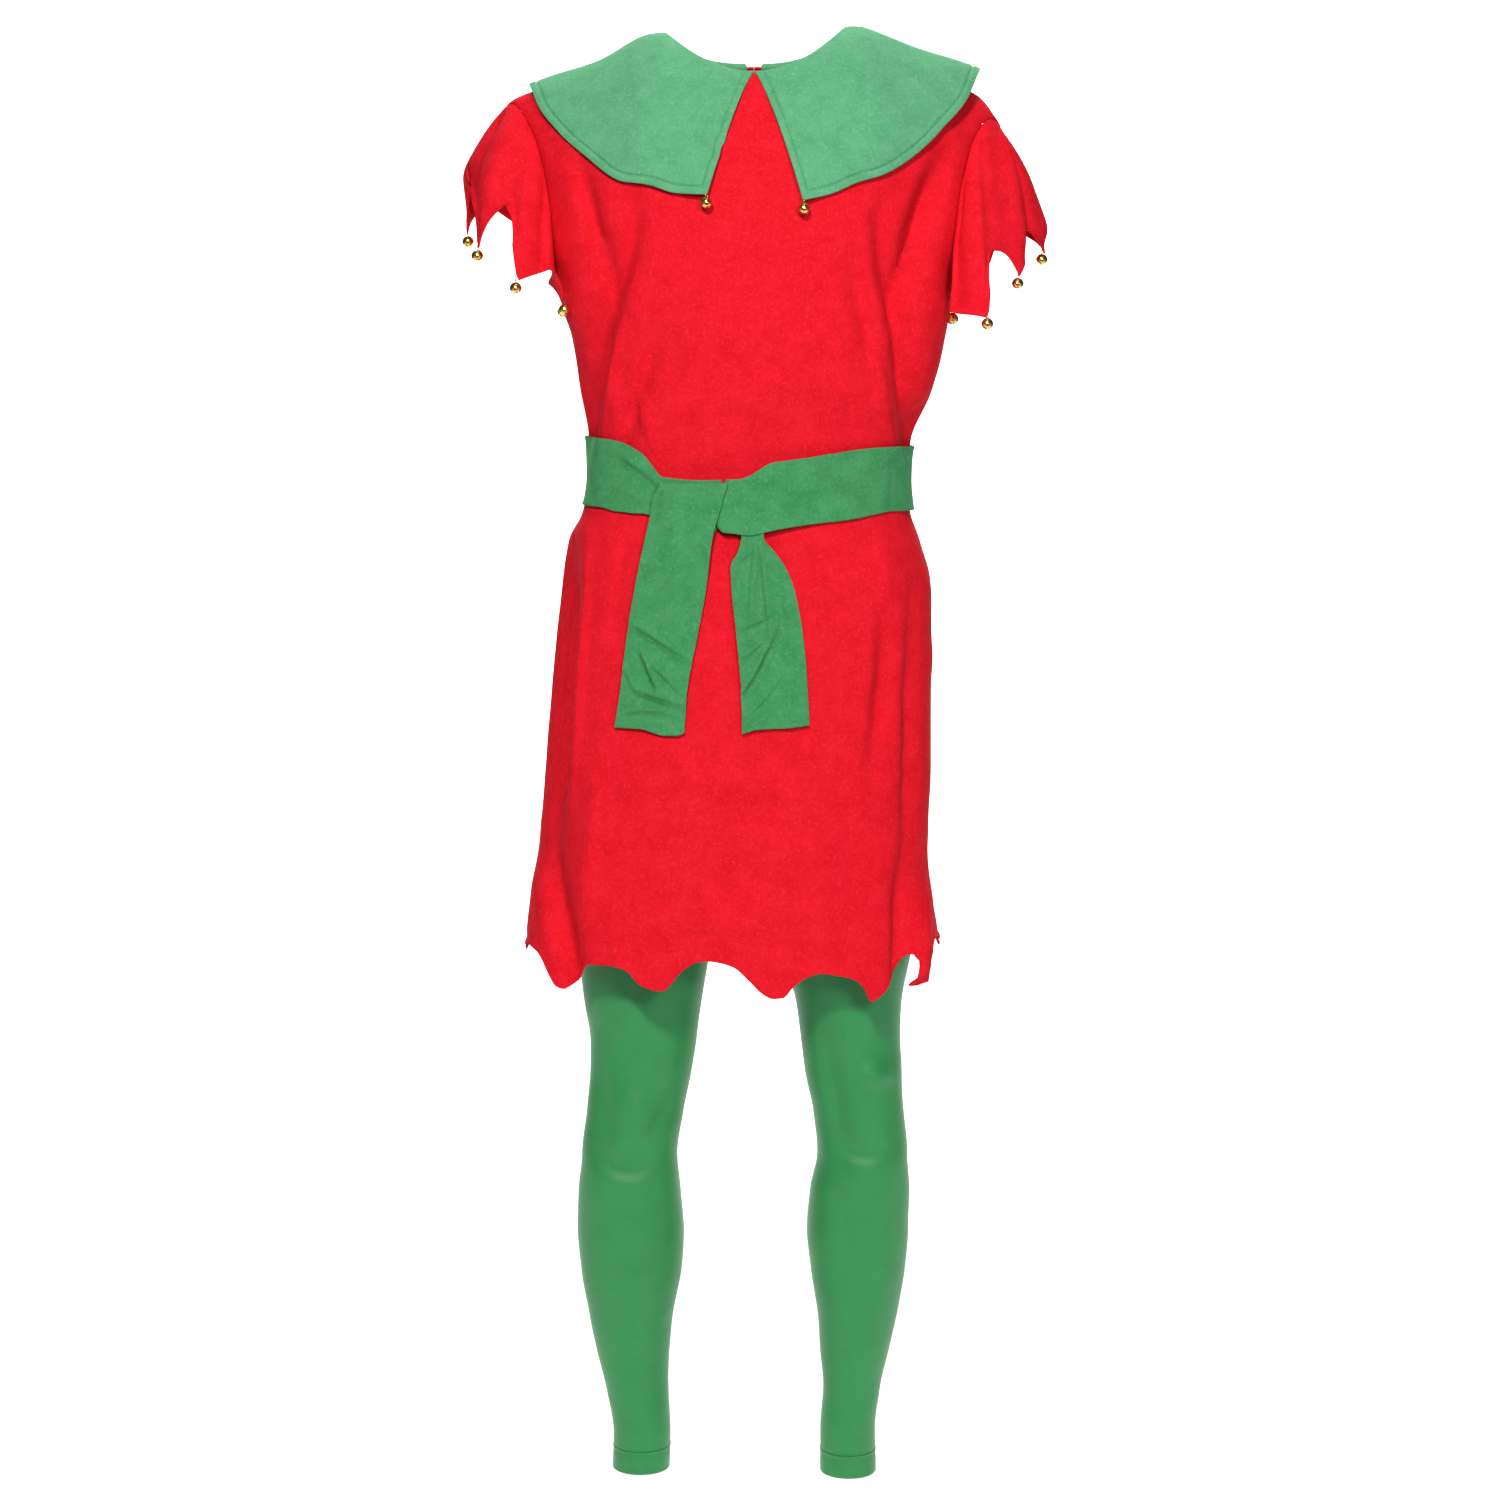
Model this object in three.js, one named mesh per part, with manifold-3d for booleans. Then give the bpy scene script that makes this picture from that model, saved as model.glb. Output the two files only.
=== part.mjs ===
import * as THREE from 'three';
import { mergeVertices } from 'three/addons/utils/BufferGeometryUtils.js';
import Module from 'manifold-3d';

// Elf costume: tunic with cape collar and bells, tied sash, leggings. Millimetres.
// X runs to the wearer's left, -Y is the front, Z is up, and the origin lies between the shoulders.

// Driving sizes
const FLEECE = 2.0;
const JERSEY = 1.2;
const SEAM = 0.3;
const SQUARENESS = 2.45;
const LEG_SQUARENESS = 2.1;
const BELL_DIAMETER = 11.5;

// Tunic body at each height: silhouette left and right, depth to the front and to the back
const BODY = [
  { z: -960, left: -225, right: 192, front: 126, back: 128 },
  { z: -886, left: -225, right: 190, front: 124, back: 127 },
  { z: -836, left: -220, right: 182, front: 121, back: 126 },
  { z: -785, left: -211, right: 178, front: 119, back: 125 },
  { z: -709, left: -205, right: 181, front: 118, back: 124 },
  { z: -609, left: -196, right: 181, front: 116, back: 123 },
  { z: -534, left: -188, right: 180, front: 112, back: 117 },
  { z: -484, left: -180, right: 169, front: 104, back: 106 },
  { z: -452, left: -164, right: 158, front: 98, back: 97 },
  { z: -420, left: -159, right: 156, front: 96, back: 94 },
  { z: -385, left: -160, right: 160, front: 99, back: 96 },
  { z: -336, left: -168, right: 180, front: 108, back: 102 },
  { z: -283, left: -176, right: 192, front: 115, back: 108 },
  { z: -240, left: -188, right: 199, front: 118, back: 112 },
  { z: 20, left: -188, right: 199, front: 118, back: 112 },
];

// Ridge of the shoulders, where the shoulder seams lie
const RIDGE = [
  { x: -245, z: -62 },
  { x: -239, z: -57 },
  { x: -212, z: -44 },
  { x: -150, z: -23 },
  { x: -84, z: 8 },
  { x: 92, z: 8 },
  { x: 155, z: -18 },
  { x: 222, z: -49 },
  { x: 247, z: -78 },
  { x: 253, z: -86 },
];

// Armhole: half distance between the armholes at each angle down from the shoulder seam,
// and how much of the body's half width that is
const SHOULDER_CENTRE = 4;
const SHOULDER_DROP = 170;
const ARMPIT = { z: -248, slope: -8 };
const ARMHOLE = [
  { angle: 0, half: 243, share: 0.94 },
  { angle: 31, half: 223, share: 0.94 },
  { angle: 52, half: 208, share: 0.94 },
  { angle: 71, half: 199, share: 0.95 },
  { angle: 90, half: 194.5, share: 0.967 },
];
const ARMHOLE_LEAN = { across: 0.8, along: 0.6 };
// Neck opening: half its width on the ridge, and degrees down the front and the back
const NECK = { half: 86.8, front: 41, back: 31 };

// Hem points and the arches between them, by share of the panel's width
const FRONT_HEM = [
  { u: -1.0, column: 0, tip: -899, arch: -895 },
  { u: -0.64, column: 6, tip: -924, arch: -891 },
  { u: -0.27, column: 13, tip: -918, arch: -889 },
  { u: 0.15, column: 20, tip: -924, arch: -903 },
  { u: 0.52, column: 26, tip: -934, arch: -893 },
  { u: 0.75, column: 31, tip: -927, arch: -895 },
  { u: 1.0, column: 35, tip: -902, arch: -895 },
];
const BACK_HEM = [
  { u: -1.0, column: 0, tip: -899, arch: -885 },
  { u: -0.6, column: 5, tip: -922, arch: -888 },
  { u: -0.2, column: 10, tip: -920, arch: -889 },
  { u: 0.2, column: 16, tip: -924, arch: -890 },
  { u: 0.6, column: 21, tip: -922, arch: -888 },
  { u: 1.0, column: 26, tip: -902, arch: -888 },
];
const HEM_POWER = 2.2;
const HEM_TOP = -840;
const HEM_ROWS = [0, 0.4];

// Columns of each panel at the shoulder, with one on each neck corner
const FRONT_NECK_COLUMNS = { first: 11, second: 24 };
const BACK_NECK_COLUMNS = { first: 8, second: 18 };
const BACK_SEAM_COLUMN = 13;
const PANEL_LEVELS = [-785, -715, -640, -570, -510, -478, -457, -440, -415, -385, -348, -310, -275];
const ARCH_STEPS = 12;
const ARCH_LEVEL = -150;

// Folds of the tunic seen from the front and the back: a curve through three places,
// how wide the trough or ridge is and how far it goes in (negative) or out
const FRONT_FOLDS = [
  { x0: -165, z0: -125, x1: -128, z1: -225, x2: -150, z2: -378, width: 17, height: -9 },
  { x0: -131, z0: -165, x1: -112, z1: -215, x2: -134, z2: -275, width: 13, height: -5 },
  { x0: -72, z0: -205, x1: -92, z1: -290, x2: -119, z2: -376, width: 12, height: -3 },
  { x0: 184, z0: -110, x1: 138, z1: -215, x2: 152, z2: -378, width: 17, height: -10 },
  { x0: 131, z0: -190, x1: 108, z1: -245, x2: 121, z2: -300, width: 12, height: -4 },
  { x0: 121, z0: -295, x1: 140, z1: -345, x2: 148, z2: -384, width: 9, height: 4 },
  { x0: -162, z0: -474, x1: -172, z1: -630, x2: -182, z2: -735, width: 12, height: 5 },
  { x0: -174, z0: -500, x1: -188, z1: -640, x2: -196, z2: -760, width: 13, height: -8 },
  { x0: -150, z0: -720, x1: -155, z1: -780, x2: -160, z2: -850, width: 14, height: 5 },
  { x0: -196, z0: -815, x1: -188, z1: -870, x2: -168, z2: -925, width: 15, height: -12 },
  { x0: 132, z0: -548, x1: 134, z1: -620, x2: 120, z2: -700, width: 16, height: -6 },
  { x0: 160, z0: -520, x1: 158, z1: -680, x2: 152, z2: -830, width: 13, height: -6 },
  { x0: 148, z0: -800, x1: 150, z1: -880, x2: 144, z2: -940, width: 13, height: -9 },
  { x0: 172, z0: -830, x1: 172, z1: -890, x2: 168, z2: -950, width: 10, height: 7 },
  { x0: -60, z0: -506, x1: 20, z1: -511, x2: 90, z2: -508, width: 12, height: -2.5 },
  { x0: -148, z0: -722, x1: -20, z1: -700, x2: 126, z2: -744, width: 12, height: 3 },
];
const BACK_FOLDS = [
  { x0: -176, z0: -120, x1: -128, z1: -230, x2: -146, z2: -380, width: 18, height: -9 },
  { x0: 184, z0: -128, x1: 140, z1: -235, x2: 150, z2: -380, width: 18, height: -9 },
  { x0: -62, z0: -250, x1: -80, z1: -320, x2: -84, z2: -380, width: 13, height: -5 },
  { x0: 74, z0: -240, x1: 62, z1: -310, x2: 70, z2: -380, width: 13, height: -5 },
  { x0: -60, z0: -468, x1: -88, z1: -640, x2: -120, z2: -930, width: 22, height: -9 },
  { x0: 52, z0: -468, x1: 70, z1: -660, x2: 112, z2: -930, width: 22, height: -9 },
  { x0: 0, z0: -480, x1: -8, z1: -700, x2: -6, z2: -900, width: 26, height: 6 },
  { x0: -168, z0: -540, x1: -178, z1: -700, x2: -180, z2: -900, width: 16, height: -8 },
  { x0: 156, z0: -540, x1: 158, z1: -700, x2: 150, z2: -900, width: 16, height: -8 },
];

// Each fold is followed in steps, thins out at its ends and fades out at the side seams
const FOLD_STEPS = 12;
const FOLD_ENDS = { start: 0.08, finish: 0.92 };
const FOLD_FADE = 0.1;

// Sleeve hems: the six points and the notches between them, with the column each falls on.
// Column 0 is the shoulder point, 13 the armpit, and the front comes first.
const SLEEVE_RIGHT_HEM = [
  { column: 0, kind: 'notch', x: -280, y: -10, z: -118, swell: 0 },
  { column: 2, kind: 'tip', x: -269, y: -44, z: -201, swell: 0 },
  { column: 4, kind: 'notch', x: -237, y: -64, z: -153, swell: 0 },
  { column: 7, kind: 'tip', x: -229, y: -90, z: -231, swell: 0 },
  { column: 9, kind: 'notch', x: -197, y: -66, z: -220, swell: 0 },
  { column: 11, kind: 'tip', x: -183, y: -54, z: -250, swell: 0 },
  { column: 13, kind: 'notch', x: -198, y: 2, z: -230, swell: 0 },
  { column: 15, kind: 'tip', x: -187, y: 50, z: -250, swell: 0 },
  { column: 17, kind: 'notch', x: -203, y: 62, z: -198, swell: 0 },
  { column: 19, kind: 'tip', x: -216, y: 78, z: -207, swell: 2 },
  { column: 22, kind: 'notch', x: -258, y: 66, z: -150, swell: 4 },
  { column: 24, kind: 'tip', x: -284, y: 34, z: -187, swell: 12 },
];
const SLEEVE_LEFT_HEM = [
  { column: 0, kind: 'notch', x: 283, y: -14, z: -176, swell: 5 },
  { column: 2, kind: 'tip', x: 260, y: -50, z: -224, swell: 0 },
  { column: 4, kind: 'notch', x: 237, y: -70, z: -196, swell: 0 },
  { column: 7, kind: 'tip', x: 228, y: -92, z: -263, swell: 0 },
  { column: 9, kind: 'notch', x: 206, y: -70, z: -254, swell: 0 },
  { column: 11, kind: 'tip', x: 200, y: -50, z: -258, swell: 0 },
  { column: 13, kind: 'notch', x: 211, y: 2, z: -250, swell: 0 },
  { column: 15, kind: 'tip', x: 201, y: 48, z: -256, swell: 0 },
  { column: 17, kind: 'notch', x: 216, y: 62, z: -232, swell: 0 },
  { column: 19, kind: 'tip', x: 232, y: 76, z: -244, swell: 2 },
  { column: 22, kind: 'notch', x: 268, y: 64, z: -178, swell: 5 },
  { column: 24, kind: 'tip', x: 291, y: 22, z: -203, swell: 16 },
];
const POINT_POWER = 1.6;
const SLEEVE_ROWS = 7;
const SLEEVE_CAP = { reach: 0.62, depth: 0.6, fall: 0.3 };
const SLEEVE_MIDDLE = { x: 235, z: -160 };
const UNDERARM = { columns: 5, seams: 3 };

// Outer edge of each collar half, from the front point round the shoulder to the back
const COLLAR_RIGHT = [
  { t: 0.0, x: -41, z: -150, side: -1, lift: 6 },
  { t: 0.09, x: -70, z: -148, side: -1, lift: 2 },
  { t: 0.2, x: -117, z: -138, side: -1, lift: 2 },
  { t: 0.29, x: -154, z: -116, side: -1, lift: 2 },
  { t: 0.37, x: -182, z: -92, side: -1, lift: 3 },
  { t: 0.45, x: -203, z: -66, side: -1, lift: 5 },
  { t: 0.52, x: -213, z: -44, side: 0, lift: 4 },
  { t: 0.6, x: -203, z: -62, side: 1, lift: 5 },
  { t: 0.7, x: -168, z: -98, side: 1, lift: 3 },
  { t: 0.8, x: -122, z: -124, side: 1, lift: 2 },
  { t: 0.9, x: -70, z: -136, side: 1, lift: 2 },
  { t: 1.0, x: -16, z: -138, side: 1, lift: 2 },
];
const COLLAR_LEFT = [
  { t: 0.0, x: 51, z: -155, side: -1, lift: 6 },
  { t: 0.09, x: 76, z: -149, side: -1, lift: 2 },
  { t: 0.2, x: 118, z: -134, side: -1, lift: 3 },
  { t: 0.29, x: 154, z: -116, side: -1, lift: 5 },
  { t: 0.37, x: 182, z: -92, side: -1, lift: 9 },
  { t: 0.45, x: 206, z: -66, side: -1, lift: 17 },
  { t: 0.52, x: 216, z: -46, side: 0, lift: 21 },
  { t: 0.6, x: 208, z: -62, side: 1, lift: 17 },
  { t: 0.7, x: 176, z: -98, side: 1, lift: 7 },
  { t: 0.8, x: 130, z: -124, side: 1, lift: 3 },
  { t: 0.9, x: 78, z: -136, side: 1, lift: 2 },
  { t: 1.0, x: 24, z: -138, side: 1, lift: 2 },
];
const COLLAR_COLUMNS = 22;
const COLLAR_ROWS = 5;
const COLLAR_SEAT = { neck: 0.3, cape: 1.6 };
const COLLAR_STAND = { right: 2, left: 8 };
const COLLAR_FLARE = 1.5;
const COLLAR_LEAN = { across: 0.35, up: 0.94 };
const COLLAR_MEET = { front: 1.2, back: 8 };
const COLLAR_SWEEP = { front: 89, back: -84 };

// Sash: the band's edges round the waist and the outlines of the tails
const BAND_FRONT = [
  { u: -1.0, top: -383, bottom: -451 },
  { u: -0.78, top: -384, bottom: -453 },
  { u: -0.6, top: -391, bottom: -455 },
  { u: -0.42, top: -413, bottom: -458 },
  { u: -0.24, top: -419, bottom: -465 },
  { u: -0.08, top: -416, bottom: -474 },
  { u: 0.1, top: -404, bottom: -474 },
  { u: 0.35, top: -395, bottom: -464 },
  { u: 0.7, top: -389, bottom: -456 },
  { u: 1.0, top: -391, bottom: -455 },
];
const BAND_BACK = [
  { u: -1.0, top: -383, bottom: -451 },
  { u: 0.0, top: -378, bottom: -446 },
  { u: 1.0, top: -391, bottom: -455 },
];
const BAND_COLUMNS = { front: 26, back: 20 };
const BAND_ROWS = 3;
const BAND_SEAT = 1.6;
const TAIL_RIGHT = [
  { z: -664, left: -131, right: -64 },
  { z: -623, left: -125, right: -61 },
  { z: -574, left: -119, right: -52 },
  { z: -526, left: -111, right: -43 },
  { z: -478, left: -101, right: -37 },
  { z: -454, left: -96, right: -30 },
  { z: -430, left: -92, right: -24 },
  { z: -414, left: -86, right: -21 },
];
const TAIL_LEFT = [
  { z: -665, left: -7, right: 57 },
  { z: -623, left: -8, right: 55 },
  { z: -574, left: -12, right: 51 },
  { z: -526, left: -17, right: 42 },
  { z: -503, left: -18, right: 33 },
  { z: -489, left: -10, right: 23 },
  { z: -477.3, left: -6, right: 14 },
];
const TAIL_COLUMNS = 5;
const TAIL_ROWS = 14;

// How far the outer face of each tail stands off the tunic
const TAIL_RIGHT_AWAY = [
  { z: -700, away: 5 },
  { z: -560, away: 5 },
  { z: -500, away: 6 },
  { z: -474, away: 8.1 },
  { z: -440, away: 6.5 },
  { z: -414, away: 7.2 },
];
const TAIL_LEFT_AWAY = [
  { z: -700, away: 5 },
  { z: -520, away: 6 },
  { z: -478, away: 8.1 },
];
const TAIL_LEFT_POUCH = { z: -477.3, depth: 5, length: 60 };

// The knot's fold over the band, beside the first tail
const KNOT_EDGES = [
  { z: -477, left: -12, right: 8 },
  { z: -464, left: -28, right: 24 },
  { z: -416, left: -19, right: 18 },
];
const KNOT = { top: -416, bottom: -477, columns: 6, rows: 6, bulge: 6, away: 6.4 };

// Leggings: each leg's centre and half width from the middle seam, and its front and back
const LEG_MIDDLE = -5;
const LEG_UPPER = [
  { z: -890, centre: 101.0, half: 67.2 },
  { z: -820, centre: 97.0, half: 76.0 },
  { z: -750, centre: 92.0, half: 84.0 },
  { z: -705, centre: 88.0, half: 88.0 },
  { z: -690, centre: 76.0, half: 100.0 },
  { z: -670, centre: 52.0, half: 123.0 },
  { z: -640, centre: 20.0, half: 153.0 },
  { z: -600, centre: 0.0, half: 170.0 },
  { z: -534, centre: 0.0, half: 165.0 },
  { z: -480, centre: 0.0, half: 156.0 },
  { z: -440, centre: 0.0, half: 150.0 },
];
const LEG_RIGHT = [
  { z: -1431, centre: 106.5, half: 29.2 },
  { z: -1394, centre: 105.4, half: 29.1 },
  { z: -1352, centre: 109.9, half: 31.7 },
  { z: -1310, centre: 114.3, half: 37.4 },
  { z: -1268, centre: 116.2, half: 43.6 },
  { z: -1226, centre: 115.5, half: 51.2 },
  { z: -1185, centre: 116.4, half: 54.3 },
  { z: -1143, centre: 117.2, half: 52.1 },
  { z: -1102, centre: 116.6, half: 48.5 },
  { z: -1060, centre: 110.9, half: 49.0 },
  { z: -1019, centre: 105.1, half: 51.4 },
  { z: -978, centre: 102.0, half: 54.5 },
  { z: -948, centre: 102.4, half: 59.0 },
  ...LEG_UPPER,
];
const LEG_LEFT = [
  { z: -1431, centre: 105.3, half: 28.6 },
  { z: -1394, centre: 104.8, half: 28.1 },
  { z: -1352, centre: 108.7, half: 29.1 },
  { z: -1310, centre: 111.6, half: 35.3 },
  { z: -1268, centre: 114.6, half: 41.4 },
  { z: -1226, centre: 114.9, half: 48.2 },
  { z: -1185, centre: 114.3, half: 51.7 },
  { z: -1143, centre: 116.2, half: 50.6 },
  { z: -1102, centre: 118.6, half: 45.9 },
  { z: -1060, centre: 114.4, half: 45.8 },
  { z: -1019, centre: 109.2, half: 48.9 },
  { z: -978, centre: 106.0, half: 50.9 },
  { z: -948, centre: 104.4, half: 53.3 },
  ...LEG_UPPER,
];
const LEG_DEPTH = [
  { z: -1431, front: -30, back: 38 },
  { z: -1352, front: -31, back: 44 },
  { z: -1268, front: -42, back: 58 },
  { z: -1185, front: -50, back: 66 },
  { z: -1102, front: -58, back: 48 },
  { z: -1019, front: -60, back: 50 },
  { z: -948, front: -66, back: 58 },
  { z: -820, front: -80, back: 76 },
  { z: -705, front: -92, back: 98 },
  { z: -600, front: -98, back: 106 },
  { z: -520, front: -95, back: 98 },
  { z: -400, front: -90, back: 88 },
];
const CROTCH = -700;
const LEG_COLUMNS = 16;
const LEG_LEVELS = [-1360, -1310, -1268, -1226, -1185, -1143, -1102, -1060, -1019, -970,
  -890, -790, -705, -688, -660, -620, -540];
const ANKLE = { top: -1408, bottom: -1431, lower: 4 };
const WAISTBAND = { top: -415, bottom: -440, inside: 0.3, hip: 40 };

// Bell: facets round it, the rim and the shank, and the slot in its lower half
const BELL = { facets: 8, shoulder: 48, rim: 0.4, shank: 1.1, top: 2.4 };
const BELL_SLOT = { width: 1.2, reach: 1.5, depth: 0.9 };
const BELL_TURN = { collarRight: 20, collarLeft: -35, step: 50 };

// Colours
const RED = { color: 0xd3172c, roughness: 0.95, metalness: 0 };
const GREEN = { color: 0x4fa871, roughness: 0.95, metalness: 0 };
const LEG_GREEN = { color: 0x3f9d5b, roughness: 0.75, metalness: 0 };
const GOLD = { color: 0xc9982f, roughness: 0.3, metalness: 1 };

const costume = new THREE.Group();
const wasm = await Module();
wasm.setup();

// A curve through one column of a table against another, rising or falling as the rows do
function curve(rows, at, value) {
  const order = [...rows].sort((a, b) => a[at] - b[at]);
  const xs = order.map((row) => row[at]);
  const ys = order.map((row) => row[value]);
  const last = xs.length - 1;
  const secants = xs.slice(1).map((x, k) => (ys[k + 1] - ys[k]) / (x - xs[k]));
  const slopes = ys.map((_, k) => {
    if (k === 0) return secants[0];
    if (k === last) return secants[last - 1];
    const product = secants[k - 1] * secants[k];
    return product <= 0 ? 0 : (2 * product) / (secants[k - 1] + secants[k]);
  });
  return (x) => {
    const inside = Math.min(Math.max(x, xs[0]), xs[last]);
    let k = 0;
    while (k < last - 1 && inside > xs[k + 1]) k += 1;
    const span = xs[k + 1] - xs[k];
    const t = (inside - xs[k]) / span;
    const a = (1 + 2 * t) * (1 - t) * (1 - t);
    const b = t * (1 - t) * (1 - t);
    const c = t * t * (3 - 2 * t);
    const d = t * t * (t - 1);
    return a * ys[k] + b * span * slopes[k] + c * ys[k + 1] + d * span * slopes[k + 1];
  };
}

const mix = (a, b, t) => a + (b - a) * t;
const radians = (degrees) => (degrees * Math.PI) / 180;

// Closed body from an outer and an inner grid of points, grid[i][j]
function wallGeometry(outer, inner, closed) {
  const columns = outer.length;
  const rows = outer[0].length;
  const points = [];
  outer.forEach((column) => column.forEach((p) => points.push(p)));
  inner.forEach((column) => column.forEach((p) => points.push(p)));
  const at = (layer, i, j) => layer * columns * rows + (i % columns) * rows + j;
  const faces = [];
  const quad = (a, b, c, d) => faces.push(a, b, c, a, c, d);
  const spans = closed ? columns : columns - 1;
  for (let i = 0; i < spans; i += 1) {
    for (let j = 0; j < rows - 1; j += 1) {
      quad(at(0, i, j), at(0, i + 1, j), at(0, i + 1, j + 1), at(0, i, j + 1));
      quad(at(1, i, j), at(1, i, j + 1), at(1, i + 1, j + 1), at(1, i + 1, j));
    }
    quad(at(0, i, 0), at(1, i, 0), at(1, i + 1, 0), at(0, i + 1, 0));
    quad(at(0, i, rows - 1), at(0, i + 1, rows - 1), at(1, i + 1, rows - 1), at(1, i, rows - 1));
  }
  if (!closed) {
    for (let j = 0; j < rows - 1; j += 1) {
      quad(at(0, 0, j), at(0, 0, j + 1), at(1, 0, j + 1), at(1, 0, j));
      const i = columns - 1;
      quad(at(0, i, j), at(1, i, j), at(1, i, j + 1), at(0, i, j + 1));
    }
  }
  return facingOut(points, faces);
}

function facingOut(points, faces) {
  let volume = 0;
  const cross = new THREE.Vector3();
  for (let k = 0; k < faces.length; k += 3) {
    cross.crossVectors(points[faces[k + 1]], points[faces[k + 2]]);
    volume += points[faces[k]].dot(cross);
  }
  if (volume < 0) {
    for (let k = 0; k < faces.length; k += 3) {
      [faces[k + 1], faces[k + 2]] = [faces[k + 2], faces[k + 1]];
    }
  }
  const geometry = new THREE.BufferGeometry();
  geometry.setAttribute('position', new THREE.Float32BufferAttribute(
    points.flatMap((p) => [p.x, p.y, p.z]), 3));
  geometry.setIndex(faces);
  return geometry;
}

// Outward normal at each point of a grid, told which way is out by a direction for each point
function gridNormals(grid, closed, outward) {
  const columns = grid.length;
  const rows = grid[0].length;
  const point = (i, j) => grid[closed ? (i + columns) % columns : i][j];
  return grid.map((column, i) => column.map((p, j) => {
    const before = point(closed ? i - 1 : Math.max(i - 1, 0), j);
    const after = point(closed ? i + 1 : Math.min(i + 1, columns - 1), j);
    const below = point(i, Math.max(j - 1, 0));
    const above = point(i, Math.min(j + 1, rows - 1));
    const across = new THREE.Vector3().subVectors(after, before);
    const along = new THREE.Vector3().subVectors(above, below);
    const normal = across.cross(along).normalize();
    return normal.dot(outward(p, i, j)) < 0 ? normal.negate() : normal;
  }));
}

const moved = (grid, normals, by) => grid.map((column, i) => column.map((p, j) => (
  p.clone().addScaledVector(normals[i][j], typeof by === 'function' ? by(i, j) : by))));

function addPiece(name, geometry, finish) {
  const mesh = new THREE.Mesh(geometry, new THREE.MeshStandardMaterial(finish));
  mesh.name = name;
  costume.add(mesh);
}

// Body sections
const bodyLeft = curve(BODY, 'z', 'left');
const bodyRight = curve(BODY, 'z', 'right');
const bodyFront = curve(BODY, 'z', 'front');
const bodyBack = curve(BODY, 'z', 'back');
const ridge = curve(RIDGE, 'x', 'z');
const armholeHalf = curve(ARMHOLE, 'angle', 'half');
const armholeShare = curve(ARMHOLE, 'angle', 'share');
const depthAt = (side, z) => (side < 0 ? bodyFront(z) : bodyBack(z));

const sectionDepth = (x, half, depth) => (
  depth * Math.max(0, 1 - Math.min(1, Math.abs(x) / half) ** SQUARENESS) ** (1 / SQUARENESS));

// Place across a section, from its middle to its edge, at a share u of the way round
function acrossSection(u, edge, half, depth) {
  const steps = 40;
  const xs = [0];
  const lengths = [0];
  for (let k = 1; k <= steps; k += 1) {
    const x = edge * Math.sin(radians((90 * k) / steps));
    const rise = sectionDepth(x, half, depth) - sectionDepth(xs[k - 1], half, depth);
    lengths.push(lengths[k - 1] + Math.hypot(x - xs[k - 1], rise));
    xs.push(x);
  }
  const wanted = Math.min(1, Math.abs(u)) * lengths[steps];
  let k = 0;
  while (k < steps - 1 && lengths[k + 1] < wanted) k += 1;
  const t = (wanted - lengths[k]) / (lengths[k + 1] - lengths[k]);
  return Math.sign(u) * mix(xs[k], xs[k + 1], t);
}

// Depth of the folds at a place of the front or back, fading towards the side seams
function foldAt(side, x, z, share) {
  let sum = 0;
  for (const fold of side < 0 ? FRONT_FOLDS : BACK_FOLDS) {
    let nearest = Infinity;
    let along = 0;
    for (let k = 0; k <= FOLD_STEPS; k += 1) {
      const t = k / FOLD_STEPS;
      const a = (1 - t) * (1 - t);
      const b = 2 * t * (1 - t);
      const c = t * t;
      const distance = Math.hypot(x - (a * fold.x0 + b * fold.x1 + c * fold.x2),
        z - (a * fold.z0 + b * fold.z1 + c * fold.z2));
      if (distance < nearest) {
        nearest = distance;
        along = t;
      }
    }
    const taper = Math.sin(Math.PI * mix(FOLD_ENDS.start, FOLD_ENDS.finish, along));
    sum += fold.height * taper * Math.exp(-((nearest / fold.width) ** 2));
  }
  return sum * Math.min(1, (1 - Math.abs(share)) / FOLD_FADE);
}

// Point of the tunic below the armpits, with its folds
function bodyPoint(side, u, z) {
  const centre = (bodyLeft(z) + bodyRight(z)) / 2;
  const half = (bodyRight(z) - bodyLeft(z)) / 2;
  const depth = depthAt(side, z);
  const x = acrossSection(u, half, half, depth);
  const y = sectionDepth(x, half, depth);
  const slope = Math.atan2(y / depth, Math.abs(x) / half);
  const out = new THREE.Vector3(Math.sign(x) * Math.cos(slope), side * Math.sin(slope), 0);
  const place = new THREE.Vector3(centre + x, side * (y + SEAM / 2), z);
  return place.addScaledVector(out, foldAt(side, centre + x, z, u));
}

// Point over the shoulders at an angle down from the seam
function shoulderPoint(side, x, angle, share) {
  const z = ridge(x) - SHOULDER_DROP * (1 - Math.cos(radians(angle)));
  const half = armholeHalf(angle) / armholeShare(angle);
  const depth = sectionDepth(x - SHOULDER_CENTRE, half, depthAt(side, z));
  const y = depth * Math.sin(radians(angle)) + SEAM / 2;
  return new THREE.Vector3(x, side * (y + foldAt(side, x, z, share)), z);
}

const neckAngle = (side, x) => {
  const reach = (x - SHOULDER_CENTRE) / NECK.half;
  return (side < 0 ? NECK.front : NECK.back) * Math.sqrt(Math.max(0, 1 - reach * reach));
};

function hemHeight(hem, u) {
  let k = 0;
  while (k < hem.length - 2 && u > hem[k + 1].u) k += 1;
  const t = (u - hem[k].u) / (hem[k + 1].u - hem[k].u);
  const tip = t < 0.5 ? hem[k].tip : hem[k + 1].tip;
  return mix(hem[k].arch, tip, Math.abs(2 * t - 1) ** HEM_POWER);
}

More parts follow.
